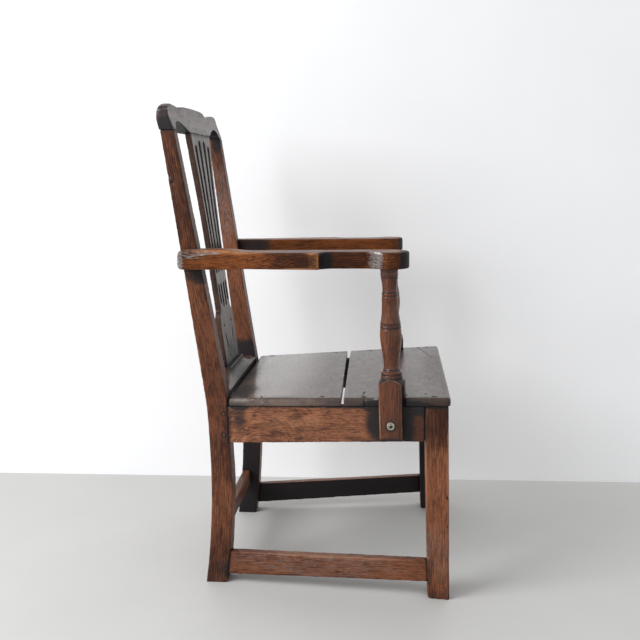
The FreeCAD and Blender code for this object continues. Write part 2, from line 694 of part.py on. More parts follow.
# Front leg on the sitter's right, tapered to the foot at the back
leg_plan = bevelled([
    (outer_x(-FRAME_DEPTH), -FRAME_DEPTH), (outer_x(-FRAME_DEPTH) + LEG_X, -FRAME_DEPTH),
    (outer_x(leg_back_y) + LEG_X, leg_back_y), (outer_x(leg_back_y), leg_back_y)], LEG_ARRIS)
leg = prism_z(polygon(leg_plan, in_xy), 0, SEAT_HEIGHT)
leg = leg.common(prism_x(sloping(
    -FRAME_DEPTH, 0, seat_under(-FRAME_DEPTH), leg_back_y, 0, seat_under(leg_back_y)), -FAR, FAR))
foot_back = -FRAME_DEPTH + LEG_FOOT_Y
taper = polygon([
    (leg_back_y, rail_bottom_front), (foot_back, 2 * LEG_FOOT_CHAMFER), (foot_back - LEG_FOOT_CHAMFER, 0),
    (leg_back_y + LEG_Y, 0), (leg_back_y + LEG_Y, rail_bottom_front)], in_yz)
leg = leg.cut(prism_x(taper, -FAR, FAR))

# Side stretcher on the sitter's right
stretcher_over = POST_Y / 2
stretcher_low = (SIDE_STRETCHER_FRONT_Z - SIDE_STRETCHER_BACK_Z) / leg_back_y
high_front = SIDE_STRETCHER_FRONT_Z + SIDE_STRETCHER_FRONT_HEIGHT
high_back = SIDE_STRETCHER_BACK_Z + SIDE_STRETCHER_BACK_HEIGHT
stretcher_high = (high_front - high_back) / leg_back_y
stretcher = prism_z(
    plan_strip(SIDE_STRETCHER_INSET, SIDE_STRETCHER_THICK, leg_back_y - LEG_Y / 2, stretcher_over),
    0, SEAT_HEIGHT)
stretcher = stretcher.common(prism_x(sloping(
    leg_back_y - LEG_Y / 2, SIDE_STRETCHER_FRONT_Z - stretcher_low * LEG_Y / 2,
    high_front - stretcher_high * LEG_Y / 2, stretcher_over,
    SIDE_STRETCHER_BACK_Z + stretcher_low * stretcher_over,
    high_back + stretcher_high * stretcher_over), -FAR, FAR))
stretcher = one_solid(stretcher.cut(post_blank))
leg_solid_y = -FRAME_DEPTH + LEG_Y / 2
stretcher = one_solid(stretcher.cut(leg).common(box(-FAR, FAR, leg_solid_y, FAR, 0, FAR)))
stretcher_inset = SIDE_STRETCHER_INSET + (SIDE_STRETCHER_THICK - STRETCHER_TENON_THICK) / 2
stretch_back = (outer_x(0) + stretcher_inset, outer_x(0) + stretcher_inset + STRETCHER_TENON_THICK,
                -POST_Y / 2, STRETCHER_TENON_LENGTH + POST_Y * POST_LEG_SHARES[0][1],
                SIDE_STRETCHER_BACK_Z + STRETCHER_TENON_SHOULDER, high_back - STRETCHER_TENON_SHOULDER)
stretch_front_x = outer_x(leg_back_y) + stretcher_inset
stretch_front = (stretch_front_x, stretch_front_x + STRETCHER_TENON_THICK,
                 leg_back_y - STRETCHER_TENON_LENGTH, leg_back_y + SIDE_STRETCHER_THICK,
                 SIDE_STRETCHER_FRONT_Z + STRETCHER_TENON_SHOULDER,
                 high_front - STRETCHER_TENON_SHOULDER)
stretcher = one_solid(stretcher.fuse(box(*stretch_back)).fuse(box(*stretch_front)))

# Front seat rail
front_rail_y0 = -FRAME_DEPTH + FRONT_RAIL_INSET
front_rail_y1 = front_rail_y0 + RAIL_THICK
leg_inner_x0 = outer_x(front_rail_y0) + LEG_X
leg_inner_x1 = outer_x(front_rail_y1) + LEG_X
front_rail_bottom = seat_under(front_rail_y0) - RAIL_DEPTH_FRONT
front_plan = polygon([(leg_inner_x0, front_rail_y0), (-leg_inner_x0, front_rail_y0),
                      (-leg_inner_x1, front_rail_y1), (leg_inner_x1, front_rail_y1)], in_xy)
front_side = sloping(front_rail_y0, front_rail_bottom, seat_under(front_rail_y0),
                     front_rail_y1, front_rail_bottom, seat_under(front_rail_y1))
front_rail = prism_z(front_plan, 0, SEAT_HEIGHT).common(prism_x(front_side, -FAR, FAR))
front_tenon_y0 = front_rail_y0 + FRONT_RAIL_TENON_SETBACK
front_rail_end = leg_inner_x1 - FRONT_RAIL_TENON_LENGTH
front_rail_tenon = (front_rail_end, -front_rail_end,
                    front_tenon_y0, front_tenon_y0 + RAIL_TENON_THICK,
                    front_rail_bottom + RAIL_TENON_SHOULDER,
                    seat_under(front_rail_y1) - RAIL_TENON_SHOULDER)
front_rail = one_solid(front_rail.fuse(box(*front_rail_tenon)))

# Rear seat rail
back_inner = post_inner(0)
back_rail_y0 = BACK_RAIL_INSET
back_rail_y1 = back_rail_y0 + BACK_RAIL_THICK
back_rail_top = seat_top(0)
back_rail_bottom = back_rail_top - BACK_RAIL_HEIGHT
back_rail = box(back_inner, -back_inner, back_rail_y0, back_rail_y1, back_rail_bottom, back_rail_top)
back_tenon_y0 = back_rail_y0 + BACK_RAIL_TENON_SETBACK
back_rail_end = back_inner - BACK_RAIL_TENON_LENGTH
back_rail_tenon = (back_rail_end, -back_rail_end,
                   back_tenon_y0, back_tenon_y0 + RAIL_TENON_THICK,
                   back_rail_bottom + RAIL_TENON_SHOULDER, back_rail_top - RAIL_TENON_SHOULDER)
back_rail = one_solid(back_rail.fuse(box(*back_rail_tenon)))

# Rear stretcher, higher than the side stretchers
back_stretcher_z1 = BACK_STRETCHER_Z + BACK_STRETCHER_HEIGHT
back_stretcher = box(back_inner, -back_inner, BACK_STRETCHER_Y,
                     BACK_STRETCHER_Y + BACK_STRETCHER_THICK, BACK_STRETCHER_Z, back_stretcher_z1)
back_stretcher_end = back_inner - BACK_RAIL_TENON_LENGTH
stretcher_tenon_y0 = BACK_STRETCHER_Y + (BACK_STRETCHER_THICK - STRETCHER_TENON_THICK) / 2
back_stretcher_tenon = (back_stretcher_end, -back_stretcher_end,
                        stretcher_tenon_y0, stretcher_tenon_y0 + STRETCHER_TENON_THICK,
                        BACK_STRETCHER_Z + STRETCHER_TENON_SHOULDER,
                        back_stretcher_z1 - STRETCHER_TENON_SHOULDER)
back_stretcher = one_solid(back_stretcher.fuse(box(*back_stretcher_tenon)))

# Crest rail, a loft through sections that follow its wavy top and its arched underside
crest_bottom = POST_TOP_Z
crest_top = crest_bottom + CREST_HEIGHT


def crest_section(x, pinch):
    """Closed section at x; the pinch draws front and back in, which rounds the ends."""
    across = abs(x)
    high = crest_top - CREST_DIP_DEPTH * value_at(CREST_TOP_SHARES, across / CREST_END_X)
    span = CREST_ARCH_END_X - CREST_LIP_X
    place = min(max((across - CREST_LIP_X) / span, 0), 1)
    low = crest_bottom + CREST_ARCH_HEIGHT * value_at(CREST_ARCH_SHARES, place)

    def front(z):
        depth = value_at(CREST_FRONT_SHARES, (z - crest_bottom) / CREST_HEIGHT)
        return POST_RAKE + CREST_HEIGHT * depth + pinch

    def back(z):
        depth = value_at(CREST_BACK_SHARES, (z - crest_bottom) / CREST_HEIGHT)
        return POST_RAKE + CREST_HEIGHT * depth - pinch

    points = []
    front_high = high - CREST_TOP_FRONT_RADIUS
    for step in range(CREST_FRONT_STEPS + 1):
        z = low + (front_high - low) * step / CREST_FRONT_STEPS
        points.append((front(z), z))
    front_cut = CREST_TOP_FRONT_RADIUS * ROUND_SHARE
    back_cut = CREST_TOP_BACK_RADIUS * ROUND_SHARE
    points.append((front(high) + front_cut, high - front_cut))
    points.append((front(high) + CREST_TOP_FRONT_RADIUS, high))
    points.append((back(high) - CREST_TOP_BACK_RADIUS, high))
    points.append((back(high) - back_cut, high - back_cut))
    back_high = high - CREST_TOP_BACK_RADIUS
    for step in range(CREST_BACK_STEPS, -1, -1):
        z = low + (back_high - low) * step / CREST_BACK_STEPS
        points.append((back(z), z))
    spots = [Vector(x, y, z) for y, z in points]
    return Part.makePolygon(spots + spots[:1])


def make_crest():
    half = []
    for start, end, shares in ((0, CREST_LIP_X, CREST_MIDDLE_SECTION_SHARES),
                               (CREST_LIP_X, CREST_ARCH_END_X, CREST_ARCH_SECTION_SHARES),
                               (CREST_ARCH_END_X, CREST_END_X, CREST_END_SECTION_SHARES)):
        half += [start + (end - start) * share for share in shares]
    places = [-x for x in half[:0:-1]] + half
    sections = [crest_section(x, CREST_END_ROUND if abs(x) >= CREST_END_X else 0) for x in places]
    return Part.makeLoft(sections, True, True)


crest = make_crest()
post_tenon_x = (post_outer(POST_TOP_Z) + post_inner(POST_TOP_Z) - POST_TENON_X) / 2
post_tenon = (post_tenon_x, post_tenon_x + POST_TENON_X,
              POST_RAKE + POST_TENON_SETBACK, POST_RAKE + POST_TENON_SETBACK + POST_TENON_Y,
              POST_TOP_Z - POST_TENON_LENGTH, POST_TOP_Z + POST_TENON_LENGTH)

# Splat, drawn upright and then leaned back about its foot
splat_foot_z = back_rail_top + SHOE_HEIGHT
splat_foot_y = POST_RAKE + SPLAT_TOP_OFFSET - SPLAT_RAKE
splat_lean = math.atan2(SPLAT_RAKE, crest_bottom - splat_foot_z)
splat_length = (crest_bottom - splat_foot_z) / math.cos(splat_lean)


splat_outline = sorted(SPLAT_LOWER_SHARES + SPLAT_SHOULDER_SHARES + SPLAT_UPPER_SHARES)


def splat_half(share):
    """Half width of the splat at a height share, between the measured places."""
    return SPLAT_TOP_HALF * value_at(splat_outline, share)


def half_round(a, b, way):
    """Points between a and b on the half circle above them (way 1) or below them (way -1)."""
    radius = abs(b[0] - a[0]) / 2
    middle = (a[0] + b[0]) / 2
    turns = [math.pi * i / SLOT_END_STEPS for i in range(1, SLOT_END_STEPS)]
    if a[0] < b[0]:
        turns.reverse()
    return [(middle + radius * math.cos(t), a[1] + way * radius * math.sin(t)) for t in turns]


def slot(edge_shares, bottom, top):
    """Hole that follows the sides of the splat, round at both ends."""
    inner, outer = edge_shares
    steps = [bottom + (top - bottom) * i / SLOT_STEPS for i in range(SLOT_STEPS + 1)]
    left = [(splat_half(s) * inner, splat_length * s) for s in steps]
    right = [(splat_half(s) * outer, splat_length * s) for s in steps]
    outline = left + half_round(left[-1], right[-1], 1) + right[::-1] + half_round(right[0], left[0], -1)
    return prism_y(polygon(outline, in_xz), -SPLAT_THICK, 2 * SPLAT_THICK)


def foot_slot():
    """Slanted slot with pointed ends near the foot of the splat."""
    half = FOOT_SLOT_WIDTH / 2
    middle = [(SPLAT_TOP_HALF * w, splat_length * h) for h, w in FOOT_SLOT_SHARES]
    left = [middle[0], (middle[1][0] - half, middle[1][1]), middle[2]]
    right = [middle[0], (middle[1][0] + half, middle[1][1]), middle[2]]
    return prism_y(arc(*left, in_xz) + arc(*right, in_xz), -SPLAT_THICK, 2 * SPLAT_THICK)


def leaned(shape):
    placed = shape.copy()
    placed.rotate(ZERO, Vector(1, 0, 0), -math.degrees(splat_lean))
    placed.translate(Vector(0, splat_foot_y, splat_foot_z))
    return placed


def make_splat():
    def spots(shares):
        return [(SPLAT_TOP_HALF * w, splat_length * h) for h, w in shares]
    upper = spots(SPLAT_UPPER_SHARES)
    shoulder = spots(SPLAT_SHOULDER_SHARES)
    lower = spots(SPLAT_LOWER_SHARES)
    # both ends run on a little and are cut level after the splat is leaned
    over_top = (upper[-1][0], upper[-1][1] + SPLAT_THICK)
    over_foot = (lower[-1][0], -SPLAT_THICK)
    edges = []
    for side in (-1, 1):
        def sided(points):
            return [(side * x, z) for x, z in points]
        edges += curve(sided(upper), in_xz)
        edges += curve(sided([upper[0]] + shoulder), in_xz)
        edges += curve(sided([shoulder[-1]] + lower), in_xz)
        edges += line(sided([upper[-1], over_top]), in_xz)
        edges += line(sided([lower[-1], over_foot]), in_xz)
    edges += line([over_top, (-over_top[0], over_top[1])], in_xz)
    edges += line([over_foot, (-over_foot[0], over_foot[1])], in_xz)
    body = prism_y(edges, 0, SPLAT_THICK)
    holes = [foot_slot()]
    for edge_shares, top, bottom in (
            (SLOT_INNER_EDGE_SHARES, SLOT_UPPER_TOP_SHARES[0], SLOT_LOWER_BOTTOM_SHARES[0]),
            (SLOT_OUTER_EDGE_SHARES, SLOT_UPPER_TOP_SHARES[1], SLOT_LOWER_BOTTOM_SHARES[1])):
        end = splat_half(top) * (edge_shares[1] - edge_shares[0]) / 2 / splat_length
        waist = splat_half(bottom) * (edge_shares[1] - edge_shares[0]) / 2 / splat_length
        holes.append(slot(edge_shares, SLOT_UPPER_BOTTOM_SHARE + waist, top - end))
        holes.append(slot(edge_shares, bottom + waist, SLOT_LOWER_TOP_SHARE - waist))
    hole_turns = [math.pi * i / SLOT_END_STEPS for i in range(2 * SLOT_END_STEPS)]
    for height, across in FOOT_HOLE_SHARES:
        ring = [(SPLAT_TOP_HALF * across + FOOT_HOLE_RADIUS * math.cos(t),
                 splat_length * height + FOOT_HOLE_RADIUS * math.sin(t)) for t in hole_turns]
        holes.append(prism_y(polygon(ring, in_xz), -SPLAT_THICK, 2 * SPLAT_THICK))
    for hole in holes:
        body = body.cut(hole).cut(mirrored(hole))
    return leaned(body).common(box(-FAR, FAR, -FAR, FAR, splat_foot_z, crest_bottom))


# the tongues are narrower than the splat by one shoulder at each side
top_half = SPLAT_TOP_HALF - SPLAT_TONGUE_SHOULDER
foot_half = SPLAT_TOP_HALF * SPLAT_LOWER_SHARES[-1][1] - SPLAT_TONGUE_SHOULDER
top_tongue = (-top_half, top_half, SPLAT_TOP_TONGUE_SETBACK,
              SPLAT_TOP_TONGUE_SETBACK + SPLAT_TONGUE_THICK,
              splat_length - SPLAT_TOP_TONGUE, splat_length + SPLAT_TOP_TONGUE)
foot_tongue = (-foot_half, foot_half, SPLAT_FOOT_TONGUE_SETBACK,
               SPLAT_FOOT_TONGUE_SETBACK + SPLAT_TONGUE_THICK, -SPLAT_FOOT_TONGUE, SPLAT_THICK / 2)
splat = make_splat().fuse(leaned(box(*foot_tongue))).fuse(leaned(box(*top_tongue)))
splat = one_solid(splat)
crest = crest.cut(leaned(mortise(*top_tongue)))
crest = crest.cut(mortise(*post_tenon)).cut(mirrored(mortise(*post_tenon)))

# Shoe: a coved moulding on the rear rail that holds the foot of the splat
shoe_bottom = back_rail_top
shoe_y0 = SHOE_FRONT_INSET
shoe_y1 = back_rail_y1
shoe_top_y = shoe_y0 + SHOE_TOP_SETBACK
shoe_half = -back_inner - FIT
shoe_top = shoe_bottom + SHOE_HEIGHT


def sagged(a, b, sag):
    """Middle of an arc from a to b that is hollow towards the lower right."""
    run = math.hypot(b[0] - a[0], b[1] - a[1])
    out = ((b[1] - a[1]) / run, -(b[0] - a[0]) / run)
    return ((a[0] + b[0]) / 2 + out[0] * sag, (a[1] + b[1]) / 2 + out[1] * sag)


cove_low = (shoe_y0 + SHOE_LIP_STEP, shoe_bottom + SHOE_LOWER_LIP)
cove_high = (shoe_top_y, shoe_top - SHOE_UPPER_LIP)
shoe_side = arc(cove_low, sagged(cove_low, cove_high, SHOE_COVE_SAG), cove_high, in_yz)
shoe_side += line([cove_high, (shoe_top_y, shoe_top), (shoe_y1, shoe_top), (shoe_y1, shoe_bottom),
                   (shoe_y0, shoe_bottom), (shoe_y0, cove_low[1]), cove_low], in_yz)
end_low = (-shoe_half + SHOE_END_FLAT, shoe_bottom + SHOE_END_HEIGHT)
end_high = (-SHOE_TOP_HALF, shoe_top)
end_middle = sagged(end_low, end_high, SHOE_END_SAG)
other_low = (-end_low[0], end_low[1])
other_high = (SHOE_TOP_HALF, shoe_top)
shoe_front = arc(end_low, end_middle, end_high, in_xz)
shoe_front += arc(other_low, (-end_middle[0], end_middle[1]), other_high, in_xz)
shoe_front += line([end_high, other_high], in_xz)
shoe_front += line([end_low, (-shoe_half, end_low[1]), (-shoe_half, shoe_bottom),
                    (shoe_half, shoe_bottom), (shoe_half, end_low[1]), other_low], in_xz)
shoe = prism_x(shoe_side, -FAR, FAR).common(prism_y(shoe_front, -FAR, FAR))
shoe = one_solid(shoe.cut(leaned(mortise(*foot_tongue))))

# Seat boards, two planks with the open joint of shrunken wood between them
board_y0 = -FRAME_DEPTH - BOARD_FRONT_OVERHANG
board_y1 = -BOARD_BACK_GAP


def board_side(y):
    return outer_x(y) - BOARD_SIDE_OVERHANG


def seat_plan():
    front_right = (board_side(board_y0), board_y0)
    front_left = (-board_side(board_y0), board_y0)
    back_right = (board_side(board_y1), board_y1)
    back_left = (-board_side(board_y1), board_y1)
    plan = [back_left, back_right]
    plan += round_corner(back_right, front_right, front_left, BOARD_CORNER_REACH, BOARD_CORNER_STEPS)
    plan += round_corner(front_right, front_left, back_left, BOARD_CORNER_REACH, BOARD_CORNER_STEPS)
    return plan


def shrink_edge(side):
    """Plan of all that lies behind the open joint (side 1) or in front of it (side -1)."""
    middle = (SHRINK_BACK_RIGHT + SHRINK_BACK_LEFT) / 2
    slope = (SHRINK_BACK_RIGHT - SHRINK_BACK_LEFT) / WIDTH_FRONT
    gap = (SHRINK_GAP_RIGHT + SHRINK_GAP_LEFT) / 4
    widening = (SHRINK_GAP_LEFT - SHRINK_GAP_RIGHT) / 2 / WIDTH_FRONT
    right, left = -WIDTH_FRONT, WIDTH_FRONT
    ends = [(x, -middle + slope * x + side * (gap + widening * x)) for x in (right, left)]
    return polygon(ends + [(left, side * 2 * FRAME_DEPTH), (right, side * 2 * FRAME_DEPTH)], in_xy)


seat = soft_slab(seat_plan(), BOARD_THICK, BOARD_UNDER_RADIUS, BOARD_NOSE_RADIUS, seat_under)
# the edge of the seat is notched where the arm supports pass it
notch_half = SUPPORT_BLOCK_Y / 2 + FIT
notch = box(-2 * SUPPORT_LAP, FIT, -notch_half, notch_half, SUPPORT_BLOCK_BOTTOM, SUPPORT_BLOCK_TOP)
notch.rotate(ZERO, Vector(0, 0, 1), -math.degrees(math.atan(LEAN_SIDE)))
notch.translate(Vector(outer_x(-SUPPORT_Y), -SUPPORT_Y, 0))
seat = seat.cut(notch).cut(mirrored(notch))
board_back = seat.common(prism_z(shrink_edge(1), 0, 2 * SEAT_HEIGHT))
board_front = seat.common(prism_z(shrink_edge(-1), 0, 2 * SEAT_HEIGHT))


# Nails through the boards into the side rails
def square(x, y, z, width):
    half = width / 2
    return [Vector(x - half, y - half, z), Vector(x + half, y - half, z),
            Vector(x + half, y + half, z), Vector(x - half, y + half, z)]


def nail_solid(x, y, top, clear):
    """Nail with its head at the top; clear is what the hole adds at each side."""
    under_head = top - NAIL_HEAD_HEIGHT - clear
    head = skin([square(x, y, under_head, NAIL_HEAD_WIDTH + 2 * clear),
                 square(x, y, top, NAIL_HEAD_TOP_WIDTH + 2 * clear)])
    shank = skin([square(x, y, top - NAIL_LENGTH - clear, NAIL_POINT_WIDTH + 2 * clear),
                  square(x, y, under_head, NAIL_SHANK_WIDTH + 2 * clear)])
    return head.fuse(shank)


nails = []
for share in NAIL_DEPTH_SHARES:
    nail_y = -BOARD_BACK_GAP + (board_y0 + BOARD_BACK_GAP) * share
    nail_x = outer_x(nail_y) + RAIL_THICK / 2
    nail_top = seat_top(nail_y) + NAIL_PROUD
    nails.append(nail_solid(nail_x, nail_y, nail_top, 0))
    hole = nail_solid(nail_x, nail_y, nail_top, FIT / 2)
    socket = box(nail_x - NAIL_HEAD_WIDTH / 2 - FIT / 2, nail_x + NAIL_HEAD_WIDTH / 2 + FIT / 2,
                 nail_y - NAIL_HEAD_WIDTH / 2 - FIT / 2, nail_y + NAIL_HEAD_WIDTH / 2 + FIT / 2,
                 nail_top - NAIL_HEAD_HEIGHT - FIT / 2, nail_top + NAIL_HEAD_HEIGHT)
    rail = rail.cut(hole)
    leg = leg.cut(hole)
    board_back = board_back.cut(hole).cut(mirrored(hole)).cut(socket).cut(mirrored(socket))
    board_front = board_front.cut(hole).cut(mirrored(hole)).cut(socket).cut(mirrored(socket))

# Pegs through the posts and the tenons of the side rails
pegs = []
peg_holes = []
for drop in PEG_DROPS:
    peg = turned_solid([(PEG_RADIUS - PEG_CHAMFER, -PEG_PROUD), (PEG_RADIUS, PEG_CHAMFER - PEG_PROUD),
                        (PEG_RADIUS, PEG_LENGTH - PEG_PROUD)], PEG_SIDES)
    hole = turned_solid([(PEG_RADIUS + FIT, -2 * PEG_PROUD),
                         (PEG_RADIUS + FIT, PEG_LENGTH + FIT - PEG_PROUD)], PEG_HOLE_SIDES)
    for shape, row in ((peg, pegs), (hole, peg_holes)):
        shape.rotate(ZERO, Vector(0, 1, 0), 90)
        shape.translate(Vector(post_outer(0), PEG_FROM_POST_FRONT, seat_top(0) - drop))
        row.append(shape)

# Screw and cup washer through the block of the arm support into the side rail
cup = turned_solid([(CUP_RADIUS, 0), (CUP_RADIUS, CUP_FLAT), (CUP_RADIUS - CUP_RIM, CUP_HEIGHT)], CUP_SIDES)
cup = cup.cut(turned_solid([
    (SCREW_SHANK_RADIUS + FIT, -CUP_FLAT), (SCREW_SHANK_RADIUS + FIT, CUP_FLAT),
    (SCREW_HEAD_RADIUS + FIT, CUP_HEIGHT), (SCREW_HEAD_RADIUS + FIT, CUP_HEIGHT + CUP_FLAT)], CUP_SIDES))
head_top = CUP_HEIGHT + FIT + SCREW_HEAD_DOME
screw = turned_solid([
    (SCREW_SHANK_RADIUS / 2, -SCREW_LENGTH),
    (SCREW_SHANK_RADIUS, -SCREW_LENGTH + SCREW_POINT_LENGTH), (SCREW_SHANK_RADIUS, CUP_FLAT + FIT),
    (SCREW_HEAD_RADIUS, CUP_HEIGHT + FIT), (SCREW_HEAD_RADIUS / 2, head_top)], SCREW_SIDES)
for turn in (0, 90):
    bar = box(-SCREW_SLOT_LENGTH / 2, SCREW_SLOT_LENGTH / 2, -SCREW_SLOT_WIDTH / 2,
              SCREW_SLOT_WIDTH / 2, head_top - SCREW_SLOT_DEPTH, head_top + SCREW_SLOT_DEPTH)
    bar.rotate(ZERO, Vector(0, 0, 1), turn)
    screw = screw.cut(bar)
screw_hole = turned_solid([(SCREW_SHANK_RADIUS + FIT / 2, -SCREW_LENGTH - FIT),
                           (SCREW_SHANK_RADIUS + FIT / 2, CUP_FLAT)], SCREW_SIDES)


def to_lap(shape):
    """From the axis of a fixing along Z to the outer face of the lap."""
    placed = shape.copy()
    placed.rotate(ZERO, Vector(0, 1, 0), -90)
    placed.translate(Vector(-SUPPORT_LAP, SUPPORT_LAP_TRIM / 2, SCREW_Z))
    return to_support(placed)


cup = to_lap(cup)
screw = one_solid(to_lap(screw))
rail = rail.cut(to_lap(screw_hole))
for side in supports:
    supports[side] = one_solid(supports[side].cut(to_lap(screw_hole)))

# Cut the mortises and the holes of the pegs
for side in posts:
    post = posts[side].fuse(box(*post_tenon))
    for tenon in (back_tenon, stretch_back, back_rail_tenon, back_stretcher_tenon):
        post = post.cut(mortise(*tenon))
    for hole in peg_holes:
        post = post.cut(hole)
    posts[side] = one_solid(post)
for hole in peg_holes:
    rail = rail.cut(hole)
for tenon in (front_tenon, stretch_front, front_rail_tenon):
    leg = leg.cut(mortise(*tenon))

parts = {
    "crest_rail": one_solid(crest),
    "splat": splat,
    "splat_shoe": shoe,
    "rear_seat_rail": back_rail,
    "front_seat_rail": front_rail,
    "rear_stretcher": back_stretcher,
    "seat_board_rear": one_solid(board_back),
    "seat_board_front": one_solid(board_front),
}
for name, shapes in (("back_post", posts), ("arm", arms), ("arm_support", supports)):
    parts[name + "_right"] = shapes["right"]
    parts[name + "_left"] = mirrored(shapes["left"])
for name, shape in (("front_leg", one_solid(leg)), ("side_seat_rail", one_solid(rail)),
                    ("side_stretcher", stretcher), ("arm_support_screw", screw),
                    ("arm_support_cup_washer", cup), ("rail_pegs", Part.makeCompound(pegs)),
                    ("seat_nails", Part.makeCompound(nails))):
    parts[name + "_right"] = shape
    parts[name + "_left"] = mirrored(shape)

# Move the chair so that the middle of its box is over the origin
whole = Part.makeCompound(list(parts.values())).BoundBox
shift = Vector(-(whole.XMin + whole.XMax) / 2, -(whole.YMin + whole.YMax) / 2, -whole.ZMin)
for name in sorted(parts):
    placed = parts[name].copy()
    placed.translate(shift)
    placed.exportStep("parts/" + name + ".step")
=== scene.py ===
"""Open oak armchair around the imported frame.

Frame: metres, +Z up, the front of the chair is -Y, the sitter's right is -X.
Each large wooden piece is a worn copy of its solid: a fine skin with rounded arrises, dents and cracks, in
oak that is made of procedural nodes in the piece's own grain directions. The pegs, nails, screws and cup
washers are the solids themselves.
"""
import bmesh
import bpy
import math
import numpy as np

from mathutils import Matrix, Vector, noise
from mathutils.bvhtree import BVHTree
from mathutils.kdtree import KDTree


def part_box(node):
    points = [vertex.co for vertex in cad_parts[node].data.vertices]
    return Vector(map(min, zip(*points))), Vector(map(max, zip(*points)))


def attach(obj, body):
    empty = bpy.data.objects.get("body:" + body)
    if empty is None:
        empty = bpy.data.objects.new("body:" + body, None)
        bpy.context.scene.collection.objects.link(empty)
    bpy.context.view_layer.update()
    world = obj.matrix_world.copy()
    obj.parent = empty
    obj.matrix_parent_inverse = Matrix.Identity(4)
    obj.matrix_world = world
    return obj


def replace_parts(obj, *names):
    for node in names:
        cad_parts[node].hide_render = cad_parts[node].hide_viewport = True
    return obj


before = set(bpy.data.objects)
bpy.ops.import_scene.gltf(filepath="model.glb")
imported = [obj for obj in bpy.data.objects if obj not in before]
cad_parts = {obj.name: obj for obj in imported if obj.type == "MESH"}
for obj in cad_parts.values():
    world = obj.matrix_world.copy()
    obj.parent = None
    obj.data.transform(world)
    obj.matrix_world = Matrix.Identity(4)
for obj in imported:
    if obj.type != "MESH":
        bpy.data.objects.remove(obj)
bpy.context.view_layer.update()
SIDES = ("right", "left")

# Camera fitted to the photograph
CAMERA_PLACE = (-1.96485, -0.1794, 0.83605)
CAMERA_YAW = 4.8052          # degrees
CAMERA_PITCH = -4.0657
CAMERA_ROLL = -0.7613
CAMERA_FOCAL_PX = 885.9
CAMERA_CENTRE_PX = (320.08, 238.60)
IMAGE_PX = 640.0
SENSOR = 36.0

# Stage and light
WHITE = (1.0, 1.0, 1.0, 1.0)
STAGE_SIZE = 6.0             # height of the wall, and half the length of the floor and the wall
WALL_X = 0.433
FLOOR_COLOUR = (0.60, 0.60, 0.59)
FLOOR_ROUGHNESS = 0.6
WALL_COLOUR = (0.78, 0.79, 0.81)
WALL_ROUGHNESS = 0.8
WALL_GLOW = 0.25             # what the wall adds of its own towards the camera
PAINT_FINENESS = (3.0, 3.0, 3.0)
PAINT_RANGE = (0.97, 1.03)   # soft unevenness of the paint
ROOM_DARK = 0.30             # light of the room away from the window and from the wall
ROOM_BRIGHT = 0.95
ROOM_SIDE = (0.62, 0.66, 0.42)
ROOM_FADE = (-0.9, 0.9)
KEY_PLACE = (-1.5, 2.1, 1.9)
KEY_AIM = (0.0, 0.0, 0.45)
KEY_SIZE = 1.5
KEY_POWER = 62.0

# How the surfaces are made
SOFTEN = 0.5                 # strength of one smoothing step
ARRIS_ANGLE = math.radians(28.0)
ARRIS_STEP = 0.002
EDGE_REACH = 0.006           # wear fades out this far from an arris
GRIME_REACH = 0.009          # dirt fades out this far from the next piece
HOLLOW_REACH = 0.004         # dirt in a groove fades out this far from it
FAR_BELOW = -10.0            # a place that is near nothing
WAVE_HEIGHT = 0.00035        # hand-planed unevenness
WAVE_ACROSS, WAVE_ALONG = 26.0, 11.0
DENT_DEPTH = 0.0011          # knocks along the arrises
DENT_EDGE = 0.3              # only this near to an arris
DENT_FINENESS = 4.3
DENT_SHIFT = 3.1             # from piece to piece
DENT_FOOT = 0.05
GRAIN_SHIFT = 1.7            # each piece is cut from its own place along the tree
# Spots, lines and grooves fade out at these many times their reach
SPOT_CORE, LINE_CORE, GROOVE_CORE = 1.35, 1.7, 1.3
MILLIMETRE = 0.001
WELD = 1e-6                  # corners nearer than this are one

# Noise patterns of the wood: fineness twice across the grain and once along it, shift, detail, roughness
PATTERNS = {
    "drift": ((16.0, 16.0, 5.0), None, 2.0, 0.50),
    "fibre": ((520.0, 520.0, 19.0), None, 4.0, 0.66),
    "fine": ((1500.0, 1500.0, 40.0), None, 3.0, 0.60),
    "pores": ((800.0, 800.0, 36.0), None, 2.0, 0.50),
    "broad": ((26.0, 26.0, 6.0), None, 3.0, 0.60),
    "cloud": ((70.0, 70.0, 30.0), (7.0, 3.0, 1.0), 5.0, 0.70),
    "speck": ((330.0, 330.0, 120.0), (1.0, 5.0, 2.0), 3.0, 0.65),
}
RING_DRIFT = (0.012, 0.012, 0.0)   # how far the drift bends the grain
RING_WIDTH = 0.0030
RING_STRETCH = 0.07
# Where the patterns begin to count and where they count in full
RING_SPAN = (0.15, 0.75)
PORE_SPAN = (0.57, 0.66)
BROAD_SPAN = (0.42, 0.62)
PATCH_SPAN = (0.52, 0.70)
SPECK_SPAN = (0.60, 0.72)
WEAR_SPAN = (1.05, 1.75)
PALE_SPAN = (0.95, 1.75)
RUBBED_AND_SHEEN_SPAN = (0.75, 1.30)
GLINT_SPAN = (1.22, 1.52)
DIRT_AND_SHADE_SPAN = (1.32, 2.02)
WEAR_COVER, PALE_COVER, DIRT_AND_SHADE_COVER = 0.85, 0.9, 0.965   # how much of the wood they hide at most
BODY_MIDDLE = 0.665          # sum of the patterns that is half dark, half light
RIM_POWER = 2.2
OAK_RELIEF = 0.0007
RUBBED_AND_SHEEN_DARK, RUBBED_AND_SHEEN_LIGHT = (0.115, 0.103, 0.100), (0.38, 0.35, 0.335)
# Near-white of the painted highlights
GLINT_COLOUR = (0.78, 0.75, 0.72)
# Near-black of stains, dirt and painted shade
STAIN_AND_SHADE_COLOUR = (0.013, 0.012, 0.014)
CRACK_COLOUR = (0.004, 0.003, 0.003)
